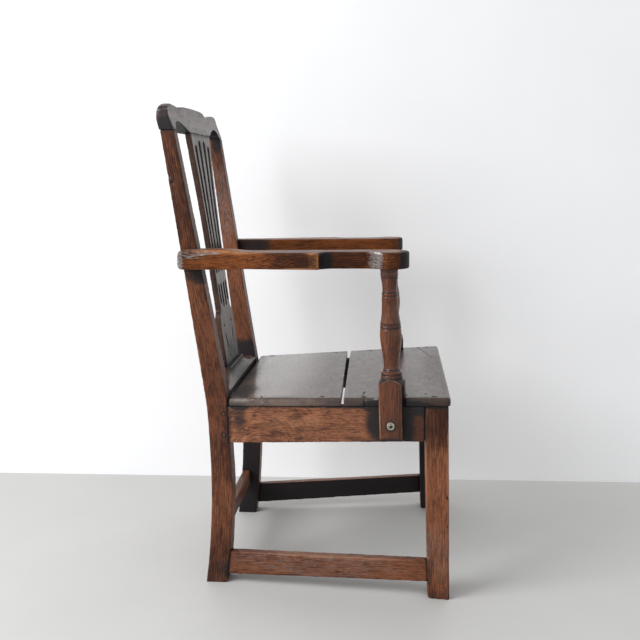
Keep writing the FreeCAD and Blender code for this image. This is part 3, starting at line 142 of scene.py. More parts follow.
# The curved ray figure on the outer sides of the side seat rails
RAY_CENTRE = (0.090, 0.276)        # Y and Z of its middle
RAY_SPAN = (0.190, 0.070)          # it fades in between these distances from its middle
RAY_FINENESS = (48.0, 48.0, 48.0)
ARC_FINENESS = 300.0
RAY_SHARE = 0.75
FLECK_SPAN = (0.56, 0.68)
FLECK_PLACE_SPAN = (0.40, 0.60)

# Metal
METAL_SPOTS = (420.0, 420.0, 420.0)
METAL_LINES = (300.0, 2600.0, 2600.0)
METAL_RELIEF = 0.0002
METAL_DIRT = (0.020, 0.018, 0.012)
DULL_SPAN = (0.42, 0.66)

# Slot, voxel in millimetres, smoothing steps, grain axis, whether the grain follows the piece,
# distance of the heart of the tree from the middle of the piece
PIECES = {
    "back_post": ("frame_oak", 1.9, 3, "z", True, (0.075, 0.050)),
    "front_leg": ("frame_oak", 1.6, 3, "z", False, (0.055, 0.070)),
    "side_seat_rail": ("rail_oak", 1.7, 3, "y", True, (0.035, 0.085)),
    "front_seat_rail": ("frame_oak", 1.9, 3, "x", False, (0.060, 0.080)),
    "rear_seat_rail": ("frame_oak", 1.9, 3, "x", False, (0.080, 0.060)),
    "side_stretcher": ("frame_oak", 1.5, 3, "y", True, (0.050, 0.060)),
    "rear_stretcher": ("frame_oak", 1.5, 3, "x", False, (0.060, 0.050)),
    "seat_board_rear": ("seat_oak", 1.9, 3, "x", False, (0.160, 0.090)),
    "seat_board_front": ("seat_oak", 1.9, 3, "x", False, (0.190, 0.080)),
    "crest_rail": ("back_oak", 1.3, 3, "x", False, (0.060, 0.090)),
    "splat": ("back_oak", 1.4, 2, "z", True, (0.120, 0.070)),
    "splat_shoe": ("back_oak", 1.2, 2, "x", False, (0.070, 0.060)),
    "arm": ("arm_oak", 1.4, 3, "y", False, (0.110, 0.060)),
    "arm_support": ("support_oak", 0.85, 2, "z", False, (0.035, 0.045)),
}
SINGLE_PIECES = ("front_seat_rail", "rear_seat_rail", "rear_stretcher", "seat_board_rear",
                 "seat_board_front", "crest_rail", "splat", "splat_shoe")

# The tables below give a piece, the centre of a spot, its reach and its strength. A name without a side
# stands for both pieces, and the X is then that of the sitter's left.
# Dark stains, and painted shade and painted reflection in the rows marked below
STAINS_AND_SHADE = [
    ("back_post_right", (-0.215, 0.200, 0.678), (0.080, 0.060, 0.016), 0.95),
    ("back_post_right", (-0.222, 0.195, 0.642), (0.080, 0.060, 0.026), 0.92),
    ("back_post", (0.165, 0.180, 0.414), (0.030, 0.050, 0.034), 0.96),
    ("back_post", (0.190, 0.150, 0.400), (0.050, 0.018, 0.060), 0.9),
    ("back_post", (0.190, 0.190, 0.000), (0.080, 0.080, 0.060), 0.55),
    ("back_post_left", (0.216, 0.258, 0.916), (0.030, 0.014, 0.028), 1.0),
    ("back_post_left", (0.205, 0.245, 0.811), (0.020, 0.014, 0.030), 0.50),
    ("side_seat_rail", (0.260, -0.137, 0.352), (0.040, 0.024, 0.060), 1.0),
    ("side_seat_rail", (0.260, -0.125, 0.306), (0.040, 0.050, 0.014), 0.9),
    ("side_seat_rail", (0.260, -0.196, 0.345), (0.040, 0.026, 0.080), 1.05),
    ("side_seat_rail", (0.260, -0.218, 0.380), (0.040, 0.040, 0.018), 1.0),
    ("side_seat_rail", (0.235, 0.138, 0.350), (0.050, 0.022, 0.045), 0.80),
    ("side_seat_rail", (0.235, 0.050, 0.296), (0.050, 0.110, 0.012), 0.60),
    ("side_seat_rail", (0.235, 0.000, 0.386), (0.050, 0.300, 0.010), 0.85),
    ("rear_seat_rail", (0.000, 0.160, 0.400), (0.400, 0.060, 0.024), 1.3),
    # Painted shade under the seat's overhang
    ("front_leg", (0.262, -0.262, 0.394), (0.050, 0.040, 0.014), 0.85),
    ("front_leg", (0.240, -0.262, 0.000), (0.080, 0.080, 0.035), 0.6),
    # Painted dark reflection of the post and splat along the rear board's back (next two rows)
    ("seat_board_rear", (0.000, 0.168, 0.392), (0.300, 0.050, 0.040), 0.85),
    ("seat_board_rear", (-0.150, 0.140, 0.390), (0.074, 0.040, 0.030), 0.95),
    ("seat_board_front", (-0.250, -0.135, 0.387), (0.020, 0.024, 0.009), 0.9),
    ("seat_board_front", (-0.259, -0.215, 0.389), (0.014, 0.040, 0.010), 1.0),
    ("splat", (0.000, 0.270, 0.900), (0.120, 0.060, 0.040), 0.60),
    ("splat", (0.000, 0.180, 0.425), (0.120, 0.050, 0.060), 0.9),
    ("crest_rail", (-0.262, 0.270, 0.934), (0.030, 0.050, 0.020), 1.3),
    ("crest_rail", (-0.134, 0.268, 0.9775), (0.026, 0.050, 0.0052), 1.35),
    ("crest_rail", (0.262, 0.270, 0.934), (0.030, 0.050, 0.020), 1.3),
    ("side_stretcher", (0.235, -0.110, 0.079), (0.060, 0.130, 0.006), 0.8),
    # Painted shade in the arm's recess after the cusp, and on the hand's front end (next two rows)
    ("arm", (0.276, -0.048, 0.672), (0.020, 0.018, 0.040), 1.05),
    ("arm", (0.262, -0.217, 0.668), (0.100, 0.034, 0.060), 1.3),
    ("arm", (0.213, 0.170, 0.665), (0.020, 0.060, 0.030), 0.9),
    ("arm_support", (0.247, -0.173, 0.312), (0.060, 0.060, 0.016), 1.1),
    ("arm_support", (0.247, -0.200, 0.420), (0.060, 0.014, 0.060), 0.7),
]
# Places drawn darker (above 0) or lighter (below 0) than their piece, partly painted shade and reflection
SHADES = [
    ("back_post", (0.235, 0.225, 0.800), (0.080, 0.080, 0.170), 0.17),
    ("back_post", (0.205, 0.180, 0.500), (0.080, 0.080, 0.100), -0.05),
    ("back_post", (0.190, 0.160, 0.040), (0.080, 0.080, 0.060), 0.10),
    ("back_post", (0.190, 0.160, 0.150), (0.080, 0.080, 0.060), -0.10),
    ("back_post", (0.190, 0.150, 0.260), (0.080, 0.080, 0.060), 0.14),
    ("back_post_left", (0.205, 0.235, 0.740), (0.060, 0.080, 0.190), -0.15),
    ("arm", (0.285, 0.010, 0.672), (0.030, 0.055, 0.040), 0.20),
    ("arm", (0.270, -0.100, 0.672), (0.040, 0.060, 0.040), 0.22),
    ("arm", (0.260, 0.150, 0.672), (0.060, 0.090, 0.040), -0.06),
    ("arm_left", (0.250, -0.020, 0.665), (0.080, 0.200, 0.040), -0.19),
    ("arm_support", (0.247, -0.190, 0.380), (0.060, 0.020, 0.060), 0.10),
    ("arm_support", (0.247, -0.160, 0.400), (0.060, 0.030, 0.030), -0.10),
    ("front_leg", (0.262, -0.262, 0.020), (0.060, 0.060, 0.100), 0.10),
    # Painted shade on the front arris of the front legs, and under the seat (next two rows)
    ("front_leg", (0.262, -0.288, 0.200), (0.060, 0.0045, 0.400), 0.50),
    ("front_leg", (0.262, -0.262, 0.355), (0.060, 0.060, 0.050), 0.46),
    ("side_seat_rail", (0.260, -0.224, 0.345), (0.040, 0.032, 0.080), 0.50),
    ("splat", (0.000, 0.220, 0.600), (0.120, 0.100, 0.400), 0.10),
    # Painted reflection: seat boards darker to the front and near edges, and a painted sheen on the rear
    # board's nosing
    ("seat_board_front", (0.000, -0.180, 0.400), (0.500, 0.300, 0.050), 0.68),
    ("seat_board_front", (0.000, -0.330, 0.400), (0.500, 0.150, 0.050), 0.92),
    ("seat_board_front", (-0.264, -0.220, 0.395), (0.030, 0.120, 0.030), 0.95),
    ("seat_board_rear", (0.000, -0.070, 0.395), (0.500, 0.110, 0.050), 0.70),
    ("seat_board_rear", (-0.222, 0.020, 0.400), (0.026, 0.130, 0.014), 0.62),
    ("seat_board_rear", (-0.236, 0.030, 0.383), (0.014, 0.150, 0.014), -0.50),
    ("crest_rail", (0.000, 0.270, 0.950), (0.400, 0.100, 0.080), 0.08),
]
# Places that hands and clothes have worn light; on the seat boards partly painted sheen
WORN = [
    ("arm", (0.262, 0.190, 0.676), (0.040, 0.050, 0.016), 0.45),
    ("arm", (0.262, 0.150, 0.686), (0.040, 0.080, 0.008), 0.45),
    ("arm", (0.288, -0.024, 0.672), (0.008, 0.016, 0.040), 0.50),
    ("arm", (0.288, 0.000, 0.656), (0.020, 0.060, 0.006), 0.6),
    ("side_seat_rail", (0.235, 0.010, 0.345), (0.060, 0.120, 0.026), 0.55),
    ("side_stretcher", (0.235, -0.030, 0.070), (0.060, 0.200, 0.010), 0.55),
    ("back_post", (0.205, 0.180, 0.470), (0.080, 0.060, 0.080), 0.35),
    ("front_leg", (0.262, -0.262, 0.250), (0.040, 0.040, 0.110), 0.45),
    # Partly painted sheen: the lighter middle of the seat (next two rows)
    ("seat_board_rear", (0.000, 0.020, 0.400), (0.240, 0.080, 0.020), 0.6),
    ("seat_board_front", (0.000, -0.180, 0.405), (0.240, 0.090, 0.020), 0.5),
]
# Places rubbed pale grey; on arms, crest end, seat nosing and shoe ends partly painted highlight and sheen
PALE_AND_HIGHLIGHT_SPOTS = [
    ("arm", (0.250, 0.250, 0.670), (0.060, 0.018, 0.034), 1.10),
    ("arm", (0.250, 0.210, 0.686), (0.060, 0.050, 0.007), 0.62),
    ("arm", (0.280, -0.143, 0.672), (0.024, 0.020, 0.040), 0.88),
    ("side_stretcher", (0.235, 0.000, 0.060), (0.060, 0.320, 0.060), 0.55),
    ("front_leg", (0.262, -0.262, 0.100), (0.060, 0.060, 0.090), 0.52),
    ("back_post_left", (0.205, 0.235, 0.760), (0.022, 0.060, 0.200), 0.58),
    ("back_post_left", (0.190, 0.180, 0.520), (0.022, 0.060, 0.100), 0.35),
    ("crest_rail", (-0.243, 0.2622, 0.9723), (0.020, 0.0032, 0.0030), 1.60),
    ("splat_shoe", (0.150, 0.170, 0.400), (0.040, 0.040, 0.030), 0.5),
    ("splat_shoe", (-0.150, 0.170, 0.400), (0.040, 0.040, 0.030), 0.5),
    ("seat_board_rear", (-0.222, 0.140, 0.385), (0.012, 0.034, 0.008), 0.95),
    ("seat_board_rear", (-0.224, 0.0885, 0.3815), (0.010, 0.0030, 0.0030), 1.05),
    ("seat_board_front", (-0.250, -0.141, 0.397), (0.006, 0.010, 0.0024), 1.30),
]
# Tone of a whole piece against the rest of its kind of oak
TONES = {"front_leg": 0.20, "side_stretcher": 0.09, "side_seat_rail": 0.02}
# How much coarser the grain of a piece is drawn than the rest
COARSE = {"front_leg": 0.85, "side_stretcher": 0.1, "back_post": -0.35}

# Painted highlights, as bright broken lines on rounded arrises: piece, points, half width, strength
PAINTED_HIGHLIGHT_LINES = [
    ("arm_right", ((-0.252, 0.250, 0.676), (-0.256, 0.240, 0.6840), (-0.257, 0.224, 0.6805),
                   (-0.258, 0.206, 0.6830), (-0.260, 0.186, 0.6852), (-0.262, 0.160, 0.6858)), 0.0011, 1.28),
    ("arm_right", ((-0.256, 0.232, 0.6780), (-0.258, 0.206, 0.6775), (-0.259, 0.190, 0.6800)),
     0.0011, 0.95),
    ("arm_right", ((-0.270, -0.133, 0.6888), (-0.276, -0.146, 0.6872), (-0.282, -0.155, 0.6862)),
     0.0020, 1.45),
    ("crest_rail", ((-0.243, 0.2835, 0.9688), (-0.243, 0.2724, 0.9704), (-0.243, 0.2618, 0.9725)),
     0.0018, 1.45),
]
SIDE_WEIGHT = (0.25, 1.0, 1.0)   # a highlight line is found by its place seen from the side
HIGHLIGHT_BREAK_GRAIN = 170.0
HIGHLIGHT_BREAK_LEVEL, HIGHLIGHT_BREAK_RANGE = 0.88, 0.55   # how far the lines are broken up
# Cracks: piece, points on the surface, half width, depth. They reach twice their half width.
CRACK_DARK = 1.6
CRACKS = [
    ("seat_board_front", ((0.2487, -0.2341, 0.402), (0.191, -0.2496, 0.4022), (0.118, -0.2636, 0.4026)),
     0.0014, 0.0022),
    ("seat_board_front", ((-0.2485, -0.1185, 0.379), (-0.2475, -0.1180, 0.397), (-0.197, -0.1169, 0.3976)),
     0.0013, 0.0024),
    ("seat_board_front", ((-0.2610, -0.2400, 0.398), (-0.225, -0.238, 0.4022)), 0.0010, 0.0018),
    ("seat_board_rear", ((-0.224, 0.0925, 0.386), (-0.223, 0.0925, 0.389), (-0.206, 0.0932, 0.3903)),
     0.0009, 0.0016),
    ("back_post_right", ((-0.246, 0.278, 0.912), (-0.246, 0.262, 0.835)), 0.0008, 0.0014),
]
# Knocks: piece, centre, radius, depth
KNOCK_DARK, KNOCK_DARKEST = 1.3, 0.9
KNOCKS = [
    ("back_post_right", (-0.241, 0.265, 0.8385), 0.0065, 0.0030),
    ("back_post_right", (-0.241, 0.259, 0.8265), 0.0060, 0.0026),
    ("front_leg_right", (-0.262, -0.281, 0.205), 0.0060, 0.0024),
    ("front_leg_right", (-0.262, -0.281, 0.148), 0.0045, 0.0016),
    ("seat_board_front", (0.262, -0.250, 0.402), 0.0080, 0.0026),
    ("arm_right", (-0.289, -0.060, 0.660), 0.0070, 0.0020),
]

# Faces that look inwards below these heights are drawn nearly black
INSIDE_PIECES = ("leg", "post", "stretcher", "side_seat_rail")
INSIDE_FADE = (0.400, 0.370)
INSIDE_DARKNESS = 1.2
SLOT_PAINTED_SHADE = 1.2             # painted shade inside the slots of the splat
SLOT_DEPTH = 0.005           # nearer than this to the outer edge of the splat is not a slot
UNDER_PAINTED_SHADE = 0.9            # painted shade under the crest rail
END_STAIN, END_X = 0.66, 0.228   # on the ends of the crest rail, further out than this
FACING_IN = (0.4, 0.8)       # share of the normal that turns inwards, sideways or down
FACING_SIDE = (0.45, 0.75)
FACING_DOWN = (0.3, 0.7)
# The turned shoulder that rounds the upper corners of the supports' blocks
SHOULDER_TOP = 0.4385        # its height in the middle of the outer face
SHOULDER_RADIUS = 0.0215
SHOULDER_SLOPE = 1.08
SHOULDER_STAIN = 0.75
SHOULDER_RIM = 0.004         # wear on its rim fades out this far from it
SHOULDER_OVER, SHOULDER_IN = 0.003, 0.0015   # the cone starts this far above and inside the corner
BLOCK_BAND = (0.03, 0.01)    # the part of the block, below the shoulder, that gives its middle
# Heights of the dark grooves of the turning, and how far the dirt in them reaches
GROOVES = (0.6375, 0.6080, 0.5470, 0.5400, 0.4560, 0.4465)
GROOVE_REACH = 0.0022
GROOVE_DIRT = 1.2            # at most
TURNED_WEAR = 0.45           # wear on the turned arrises against the wear on the others
# The right arm is thicker where it meets the post
SWELL_PLACE = (0.100, 0.165)
SWELL_UP, SWELL_DOWN = 0.0050, 0.0016
# The dip in the top of the crest rail is shallower on the right
DIP_X, DIP_REACH = -0.122, 0.052
DIP_HEIGHTS = (0.956, 0.974)
DIP_RISE = 0.0058


class Shader:
    """The node tree of a material or a world, built with short calls that return output sockets."""

    def __init__(self, owner):
        self.owner = owner
        owner.use_nodes = True
        self.tree = owner.node_tree
        self.tree.nodes.clear()

    def add(self, kind, inputs=None, **settings):
        node = self.tree.nodes.new(kind)
        for key, value in settings.items():
            setattr(node, key, value)
        for key, value in (inputs or {}).items():
            if isinstance(value, bpy.types.NodeSocket):
                self.tree.links.new(value, node.inputs[key])
            else:
                node.inputs[key].default_value = value
        return node

    def attribute(self, name, output="Fac"):
        return self.add("ShaderNodeAttribute", attribute_name=name).outputs[output]

    def scaled(self, vector, factors):
        return self.add("ShaderNodeVectorMath", {0: vector, 1: factors}, operation="MULTIPLY").outputs[0]

    def added(self, vector, other):
        return self.add("ShaderNodeVectorMath", {0: vector, 1: other}, operation="ADD").outputs[0]

    def noise(self, vector, detail, rough, output="Fac"):
        inputs = {"Vector": vector, "Scale": 1.0, "Detail": detail, "Roughness": rough}
        return self.add("ShaderNodeTexNoise", inputs).outputs[output]

    def pattern(self, key, place, output="Fac"):
        """One of the noise patterns of the wood, by its name in the table."""
        fineness, shift, detail, rough = PATTERNS[key]
        place = self.scaled(place, fineness)
        if shift:
            place = self.added(place, shift)
        return self.noise(place, detail, rough, output)

    def math(self, operation, a, b, clamp=False):
        return self.add("ShaderNodeMath", {0: a, 1: b}, operation=operation, use_clamp=clamp).outputs[0]

    def times(self, a, b):
        return self.math("MULTIPLY", a, b)

    def plus(self, first, *others):
        for other in others:
            first = self.math("ADD", first, other)
        return first

    def minus(self, a, b):
        return self.math("SUBTRACT", a, b)

    def blend(self, *pairs):
        """Sum of values, each times its share."""
        return self.plus(*(self.times(value, share) for value, share in pairs))

    def span(self, value, ends, to=(0.0, 1.0)):
        """Smooth step from the first end to the second."""
        inputs = {"Value": value, "From Min": ends[0], "From Max": ends[1],
                  "To Min": to[0], "To Max": to[1]}
        return self.add("ShaderNodeMapRange", inputs, interpolation_type="SMOOTHSTEP").outputs["Result"]

    def mix(self, factor, a, b, blend="MIX"):
        node = self.add("ShaderNodeMix", data_type="RGBA", blend_type=blend)
        for index, value in ((0, factor), (6, a), (7, b)):
            if isinstance(value, bpy.types.NodeSocket):
                self.tree.links.new(value, node.inputs[index])
            else:
                node.inputs[index].default_value = value if index == 0 else (*value, 1.0)
        return node.outputs[2]

    def bump(self, height, strength, distance):
        inputs = {"Height": height, "Strength": strength, "Distance": distance}
        return self.add("ShaderNodeBump", inputs).outputs["Normal"]

    def surface(self, **inputs):
        names = {"colour": "Base Color", "roughness": "Roughness", "normal": "Normal",
                 "metallic": "Metallic", "specular": "Specular IOR Level", "coat": "Coat Weight",
                 "coat_roughness": "Coat Roughness", "glow": "Emission Strength",
                 "glow_colour": "Emission Color"}
        inputs = {names[key]: value for key, value in inputs.items()}
        return self.add("ShaderNodeBsdfPrincipled", inputs).outputs[0]

    def either(self, factor, first, second):
        """The first shader where the factor is 0, the second where it is 1."""
        return self.add("ShaderNodeMixShader", {0: factor, 1: first, 2: second}).outputs[0]

    def finish(self, shader, output="ShaderNodeOutputMaterial"):
        self.add(output, {"Surface": shader})
        return self.owner


def ring_waves(s, place):
    """Growth rings round the heart of the tree."""
    inputs = {"Vector": s.scaled(place, (1.0, 1.0, RING_STRETCH)),
              "Scale": 2.0 * math.pi / (20.0 * RING_WIDTH), "Distortion": 5.0, "Detail": 4.0,
              "Detail Scale": 1.3, "Detail Roughness": 0.75}
    waves = s.add("ShaderNodeTexWave", inputs, wave_type="RINGS", rings_direction="Z", wave_profile="SIN")
    return s.span(waves.outputs["Fac"], RING_SPAN)


def oak(name, dark, light, worn, tone=0.0, fleck=0.0, mottle=0.5, figure=0.30, edge=0.60, roughness=0.42,
        specular=0.35, coat=0.10, coat_roughness=0.25, relief=1.0, pore=0.7, clouds=0.5, streak=1.35,
        softness=0.32):
    """Old waxed oak: rings, fibres, pores, ray figure, stains, painted shade, grime in the joints, worn
    arrises and painted highlights.
    """
    s = Shader(bpy.data.materials.new(name))
    grain = s.attribute("grain", "Vector")
    drift = s.added(s.pattern("drift", grain, "Color"), (-0.5, -0.5, -0.5))
    bent = s.added(grain, s.scaled(drift, RING_DRIFT))
    rings = ring_waves(s, bent)
    fibre, fine = s.pattern("fibre", bent), s.pattern("fine", bent)
    pores = s.span(s.pattern("pores", bent), PORE_SPAN)
    broad, cloud, speck = (s.pattern(key, grain) for key in ("broad", "cloud", "speck"))

    # The wood itself, from its dark to its light colour, with flecks, patches, specks and pores
    strong = s.times(rings, s.span(broad, BROAD_SPAN, (0.15 * figure, figure)))
    coarse = s.times(s.plus(s.attribute("coarse"), 1.0), streak)
    body = s.plus(strong, s.times(s.minus(fibre, 0.5), coarse), s.times(fine, 0.75))
    if fleck:
        arcs = s.add("ShaderNodeCombineXYZ", {0: s.times(s.attribute("arc"), ARC_FINENESS)}).outputs[0]
        rays = s.noise(s.added(s.scaled(bent, RAY_FINENESS), arcs), 2.0, 0.55)
        seen = s.span(s.attribute("arc"), RAY_SPAN)
        body = s.plus(body, s.times(s.minus(rays, 0.5), s.times(seen, RAY_SHARE)))
    body = s.plus(body, s.times(broad, 0.45), s.times(s.minus(cloud, 0.5), clouds), s.attribute("tone"), tone)
    # Places drawn darker or lighter, partly painted shade and painted reflection
    body = s.minus(body, s.attribute("shade"))
    colour = s.mix(s.span(body, (BODY_MIDDLE - softness, BODY_MIDDLE + softness)), dark, light)
    if fleck:
        flecks = s.times(s.span(rays, FLECK_SPAN), s.times(seen, s.span(broad, FLECK_PLACE_SPAN)))
        colour = s.mix(s.times(flecks, fleck), colour, worn)
    patches = s.times(s.span(cloud, PATCH_SPAN), mottle)
    specks = s.times(s.span(speck, SPECK_SPAN), mottle)
    for factor, share in ((patches, 0.40), (specks, 0.20), (s.times(pores, pore), 0.25)):
        colour = s.mix(factor, colour, tuple(share * c for c in dark))

    # Wear, pale rubbed places with painted highlights, stains and dirt with painted shade, and cracks, all
    # with ragged borders
    ragged = s.blend((cloud, 0.9), (fibre, 0.5), (speck, 0.6))
    rim = s.math("POWER", s.attribute("edge"), RIM_POWER)
    shine = s.span(s.plus(s.attribute("worn"), s.blend((rim, edge), (ragged, 0.70))), WEAR_SPAN)
    colour = s.mix(s.times(shine, WEAR_COVER), colour, worn)
    pale = s.span(s.plus(s.attribute("pale"), s.times(ragged, 0.60)), PALE_SPAN)
    rubbed_and_glint = s.mix(s.span(s.plus(fine, speck), RUBBED_AND_SHEEN_SPAN), RUBBED_AND_SHEEN_DARK, RUBBED_AND_SHEEN_LIGHT)
    # Painted highlight: near-white where the pale spots and lines are strongest
    rubbed_and_glint = s.mix(s.span(s.attribute("pale"), GLINT_SPAN), rubbed_and_glint, GLINT_COLOUR)
    colour = s.mix(s.times(pale, PALE_COVER), colour, rubbed_and_glint)
    # Stains, dirt and painted shade, drawn towards one near-black
    dirt = s.plus(s.attribute("stain"), s.blend((s.attribute("grime"), 0.8), (ragged, 1.05)))
    black = s.span(dirt, DIRT_AND_SHADE_SPAN)
    colour = s.mix(s.times(black, DIRT_AND_SHADE_COVER), colour, STAIN_AND_SHADE_COLOUR)
    colour = s.mix(s.attribute("crack"), colour, CRACK_COLOUR)

    # Relief, roughness and wax
    height = s.blend((fibre, 0.6), (rings, 0.10), (pores, -0.70 * pore), (cloud, 0.4), (specks, -0.4))
    normal = s.bump(height, 0.65 * relief, OAK_RELIEF)
    gloss = s.blend((cloud, 0.30), (pores, 0.12), (black, 0.10), (shine, -0.07))
    gloss = s.math("ADD", gloss, roughness - 0.15, clamp=True)
    # Less wax where stained or drawn darker; on the seat boards this paints the shifts in their reflection
    dull = s.math("ADD", s.times(black, 0.75), s.attribute("shade"), clamp=True)
    return s.finish(s.surface(colour=colour, roughness=gloss, normal=normal, specular=specular,
                              coat=s.times(s.minus(1.0, dull), coat), coat_roughness=coat_roughness))


def metal(name, base, tarnish, roughness, scratch, dirt_radius=0.0):
    """Worn metal with fine turned lines, dull patches and dirt in its middle."""
    s = Shader(bpy.data.materials.new(name))
    place = s.add("ShaderNodeTexCoord").outputs["Object"]
    spots = s.noise(s.scaled(place, METAL_SPOTS), 4.0, 0.6)
    lines = s.noise(s.scaled(place, METAL_LINES), 2.0, 0.5)
    dull = s.span(spots, DULL_SPAN)
    colour = s.mix(dull, base, tarnish)
    if dirt_radius:
        off_axis = s.scaled(s.added(place, tuple(-c for c in SCREW_CENTRE)), (0.0, 1.0, 1.0))
        away = s.add("ShaderNodeVectorMath", {0: off_axis}, operation="LENGTH").outputs["Value"]
        away = s.plus(away, s.times(spots, 0.4 * dirt_radius))
        colour = s.mix(s.span(away, (1.6 * dirt_radius, dirt_radius)), colour, METAL_DIRT)
    gloss = s.plus(s.blend((dull, 0.25), (lines, 0.12)), roughness)
    normal = s.bump(s.plus(lines, spots), scratch, METAL_RELIEF)
    return s.finish(s.surface(colour=colour, roughness=gloss, metallic=1.0, normal=normal))


def paint(name, colour, roughness, glow=0.0):
    """Plain pale paint. The kind that glows is seen from its front only."""
    s = Shader(bpy.data.materials.new(name))
    place = s.add("ShaderNodeTexCoord").outputs["Object"]
    soft = s.span(s.noise(s.scaled(place, PAINT_FINENESS), 4.0, 0.6), (0.2, 0.8), PAINT_RANGE)
    grey = s.add("ShaderNodeCombineColor", {0: soft, 1: soft, 2: soft}).outputs[0]
    colour = s.mix(1.0, colour, grey, "MULTIPLY")
    if not glow:
        return s.finish(s.surface(colour=colour, roughness=roughness))
    front = s.surface(colour=colour, roughness=roughness, glow=glow, glow_colour=WHITE)
    clear = s.add("ShaderNodeBsdfTransparent").outputs[0]
    return s.finish(s.either(s.add("ShaderNodeNewGeometry").outputs["Backfacing"], front, clear))


SCREW_LOW, SCREW_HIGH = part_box("arm_support_screw_right")
SCREW_CENTRE = tuple((a + b) / 2.0 for a, b in zip(SCREW_LOW, SCREW_HIGH))
OAKS = {
    "frame_oak": dict(dark=(0.040, 0.012, 0.006), light=(0.260, 0.092, 0.042), worn=(0.40, 0.175, 0.090),
                      figure=0.18, specular=0.18, coat=0.04, mottle=0.7, clouds=1.0, streak=0.95,
                      softness=0.36),
    "rail_oak": dict(dark=(0.080, 0.026, 0.014), light=(0.370, 0.145, 0.070), worn=(0.52, 0.250, 0.125),
                     tone=0.08, fleck=0.6, mottle=0.9, figure=0.08, clouds=1.1, streak=0.65, specular=0.24,
                     coat=0.06),
    "arm_oak": dict(dark=(0.035, 0.009, 0.003), light=(0.245, 0.071, 0.017), worn=(0.44, 0.200, 0.085),
                    roughness=0.38, specular=0.13, coat=0.05, coat_roughness=0.16, figure=0.16, streak=1.0,
                    clouds=0.8),
    "support_oak": dict(dark=(0.042, 0.010, 0.003), light=(0.205, 0.057, 0.018), worn=(0.50, 0.27, 0.17),
                        edge=0.85, roughness=0.32, specular=0.22, coat=0.42, coat_roughness=0.07,
                        mottle=0.25, figure=0.10),
    "back_oak": dict(dark=(0.035, 0.018, 0.013), light=(0.105, 0.055, 0.038), worn=(0.28, 0.17, 0.11),
                     edge=0.50, roughness=0.33, specular=0.24, coat=0.16, coat_roughness=0.22, mottle=0.12,
                     relief=0.25, pore=0.25, figure=0.2),
    "seat_oak": dict(dark=(0.050, 0.031, 0.025), light=(0.150, 0.098, 0.078), worn=(0.21, 0.12, 0.092),
                     roughness=0.34, specular=0.24, coat=0.88, coat_roughness=0.15, mottle=0.06,
                     relief=0.20, pore=0.15, figure=0.1, clouds=1.1, streak=0.9),
    "peg_oak": dict(dark=(0.050, 0.030, 0.020), light=(0.150, 0.090, 0.065), worn=(0.24, 0.17, 0.12),
                    mottle=0.3),
}
METALS = {
    "nail_iron": dict(base=(0.09, 0.08, 0.075), tarnish=(0.030, 0.018, 0.012), roughness=0.42, scratch=0.5),
    "screw_steel": dict(base=(0.32, 0.31, 0.27), tarnish=(0.10, 0.09, 0.065), roughness=0.22, scratch=0.3,
                        dirt_radius=0.0022),
    "cup_brass": dict(base=(0.56, 0.53, 0.45), tarnish=(0.29, 0.25, 0.17), roughness=0.20, scratch=0.3),
}
MATERIALS = {name: oak(name, **look) for name, look in OAKS.items()}
MATERIALS.update({name: metal(name, **look) for name, look in METALS.items()})


def ramp(values, ends):
    """0 at the first end, 1 at the second."""
    return np.clip((values - ends[0]) / (ends[1] - ends[0]), 0.0, 1.0)


def near(distance, reach):
    """1 at no distance, falling to 0 at the reach."""
    return np.clip(1.0 - distance / reach, 0.0, 1.0)


def smooth(share):
    """A share between 0 and 1 with soft ends."""
    return share * share * (3.0 - 2.0 * share)


def welded(node):
    """The solid's surface with its corners joined again."""
    bm = bmesh.new()
    bm.from_mesh(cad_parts[node].data)
    bmesh.ops.remove_doubles(bm, verts=bm.verts, dist=WELD)
    bm.normal_update()
    return bm


def edge_tree(solid, outward):
    """Points along the sharp edges of the solid, outward or inward."""
    points = []
    for edge in solid.edges:
        sharp = len(edge.link_faces) == 2 and edge.calc_face_angle(0.0) > ARRIS_ANGLE
        if sharp and edge.is_convex == outward:
            a, b = (v.co for v in edge.verts)
            count = max(1, int((b - a).length / ARRIS_STEP))
            points.extend(a.lerp(b, k / count) for k in range(count + 1))
    points.append(Vector((0.0, 0.0, FAR_BELOW)))
    tree = KDTree(len(points))
    for k, point in enumerate(points):
        tree.insert(point, k)
    tree.balance()
    return tree


def near_share(points, find, reach):
    """1 at the nearest thing, falling to 0 at the reach."""
    out = np.zeros(len(points))
    for k, point in enumerate(points):
        found = find(point)
        if found is not None:
            out[k] = max(0.0, 1.0 - found / reach)
    return out


def spot_share(points, node, table):
    """The strongest of the ellipsoid spots that a table gives for a piece."""
    out = np.zeros(len(points))
    for name, centre, reach, strength in table:
        if not node.startswith(name):
            continue
        middle = np.array(centre)
        if node.endswith("_right") and name != node:
            middle = middle * (-1.0, 1.0, 1.0)
        distance = np.linalg.norm((points - middle) / np.array(reach), axis=1)
        out = np.maximum(out, strength * smooth(np.clip(SPOT_CORE - distance, 0.0, 1.0)))
    return out


def shade_share(points, node):
    """How much darker each place is drawn, from the spots that darken and those that lighten; partly painted
    shade and reflection.
    """
    darker = [row for row in SHADES if row[3] > 0.0]
    lighter = [(name, centre, reach, -strength) for name, centre, reach, strength in SHADES if strength < 0.0]
    return spot_share(points, node, darker) - spot_share(points, node, lighter)


def to_line(points, line):
    """Distance of each point from a line of several segments."""
    best = np.full(len(points), 1.0)
    for a, b in zip(line[:-1], line[1:]):
        a, b = np.array(a), np.array(b)
        share = np.clip((points - a) @ (b - a) / ((b - a) @ (b - a)), 0.0, 1.0)
        best = np.minimum(best, np.linalg.norm(points - a - share[:, None] * (b - a), axis=1))
    return best


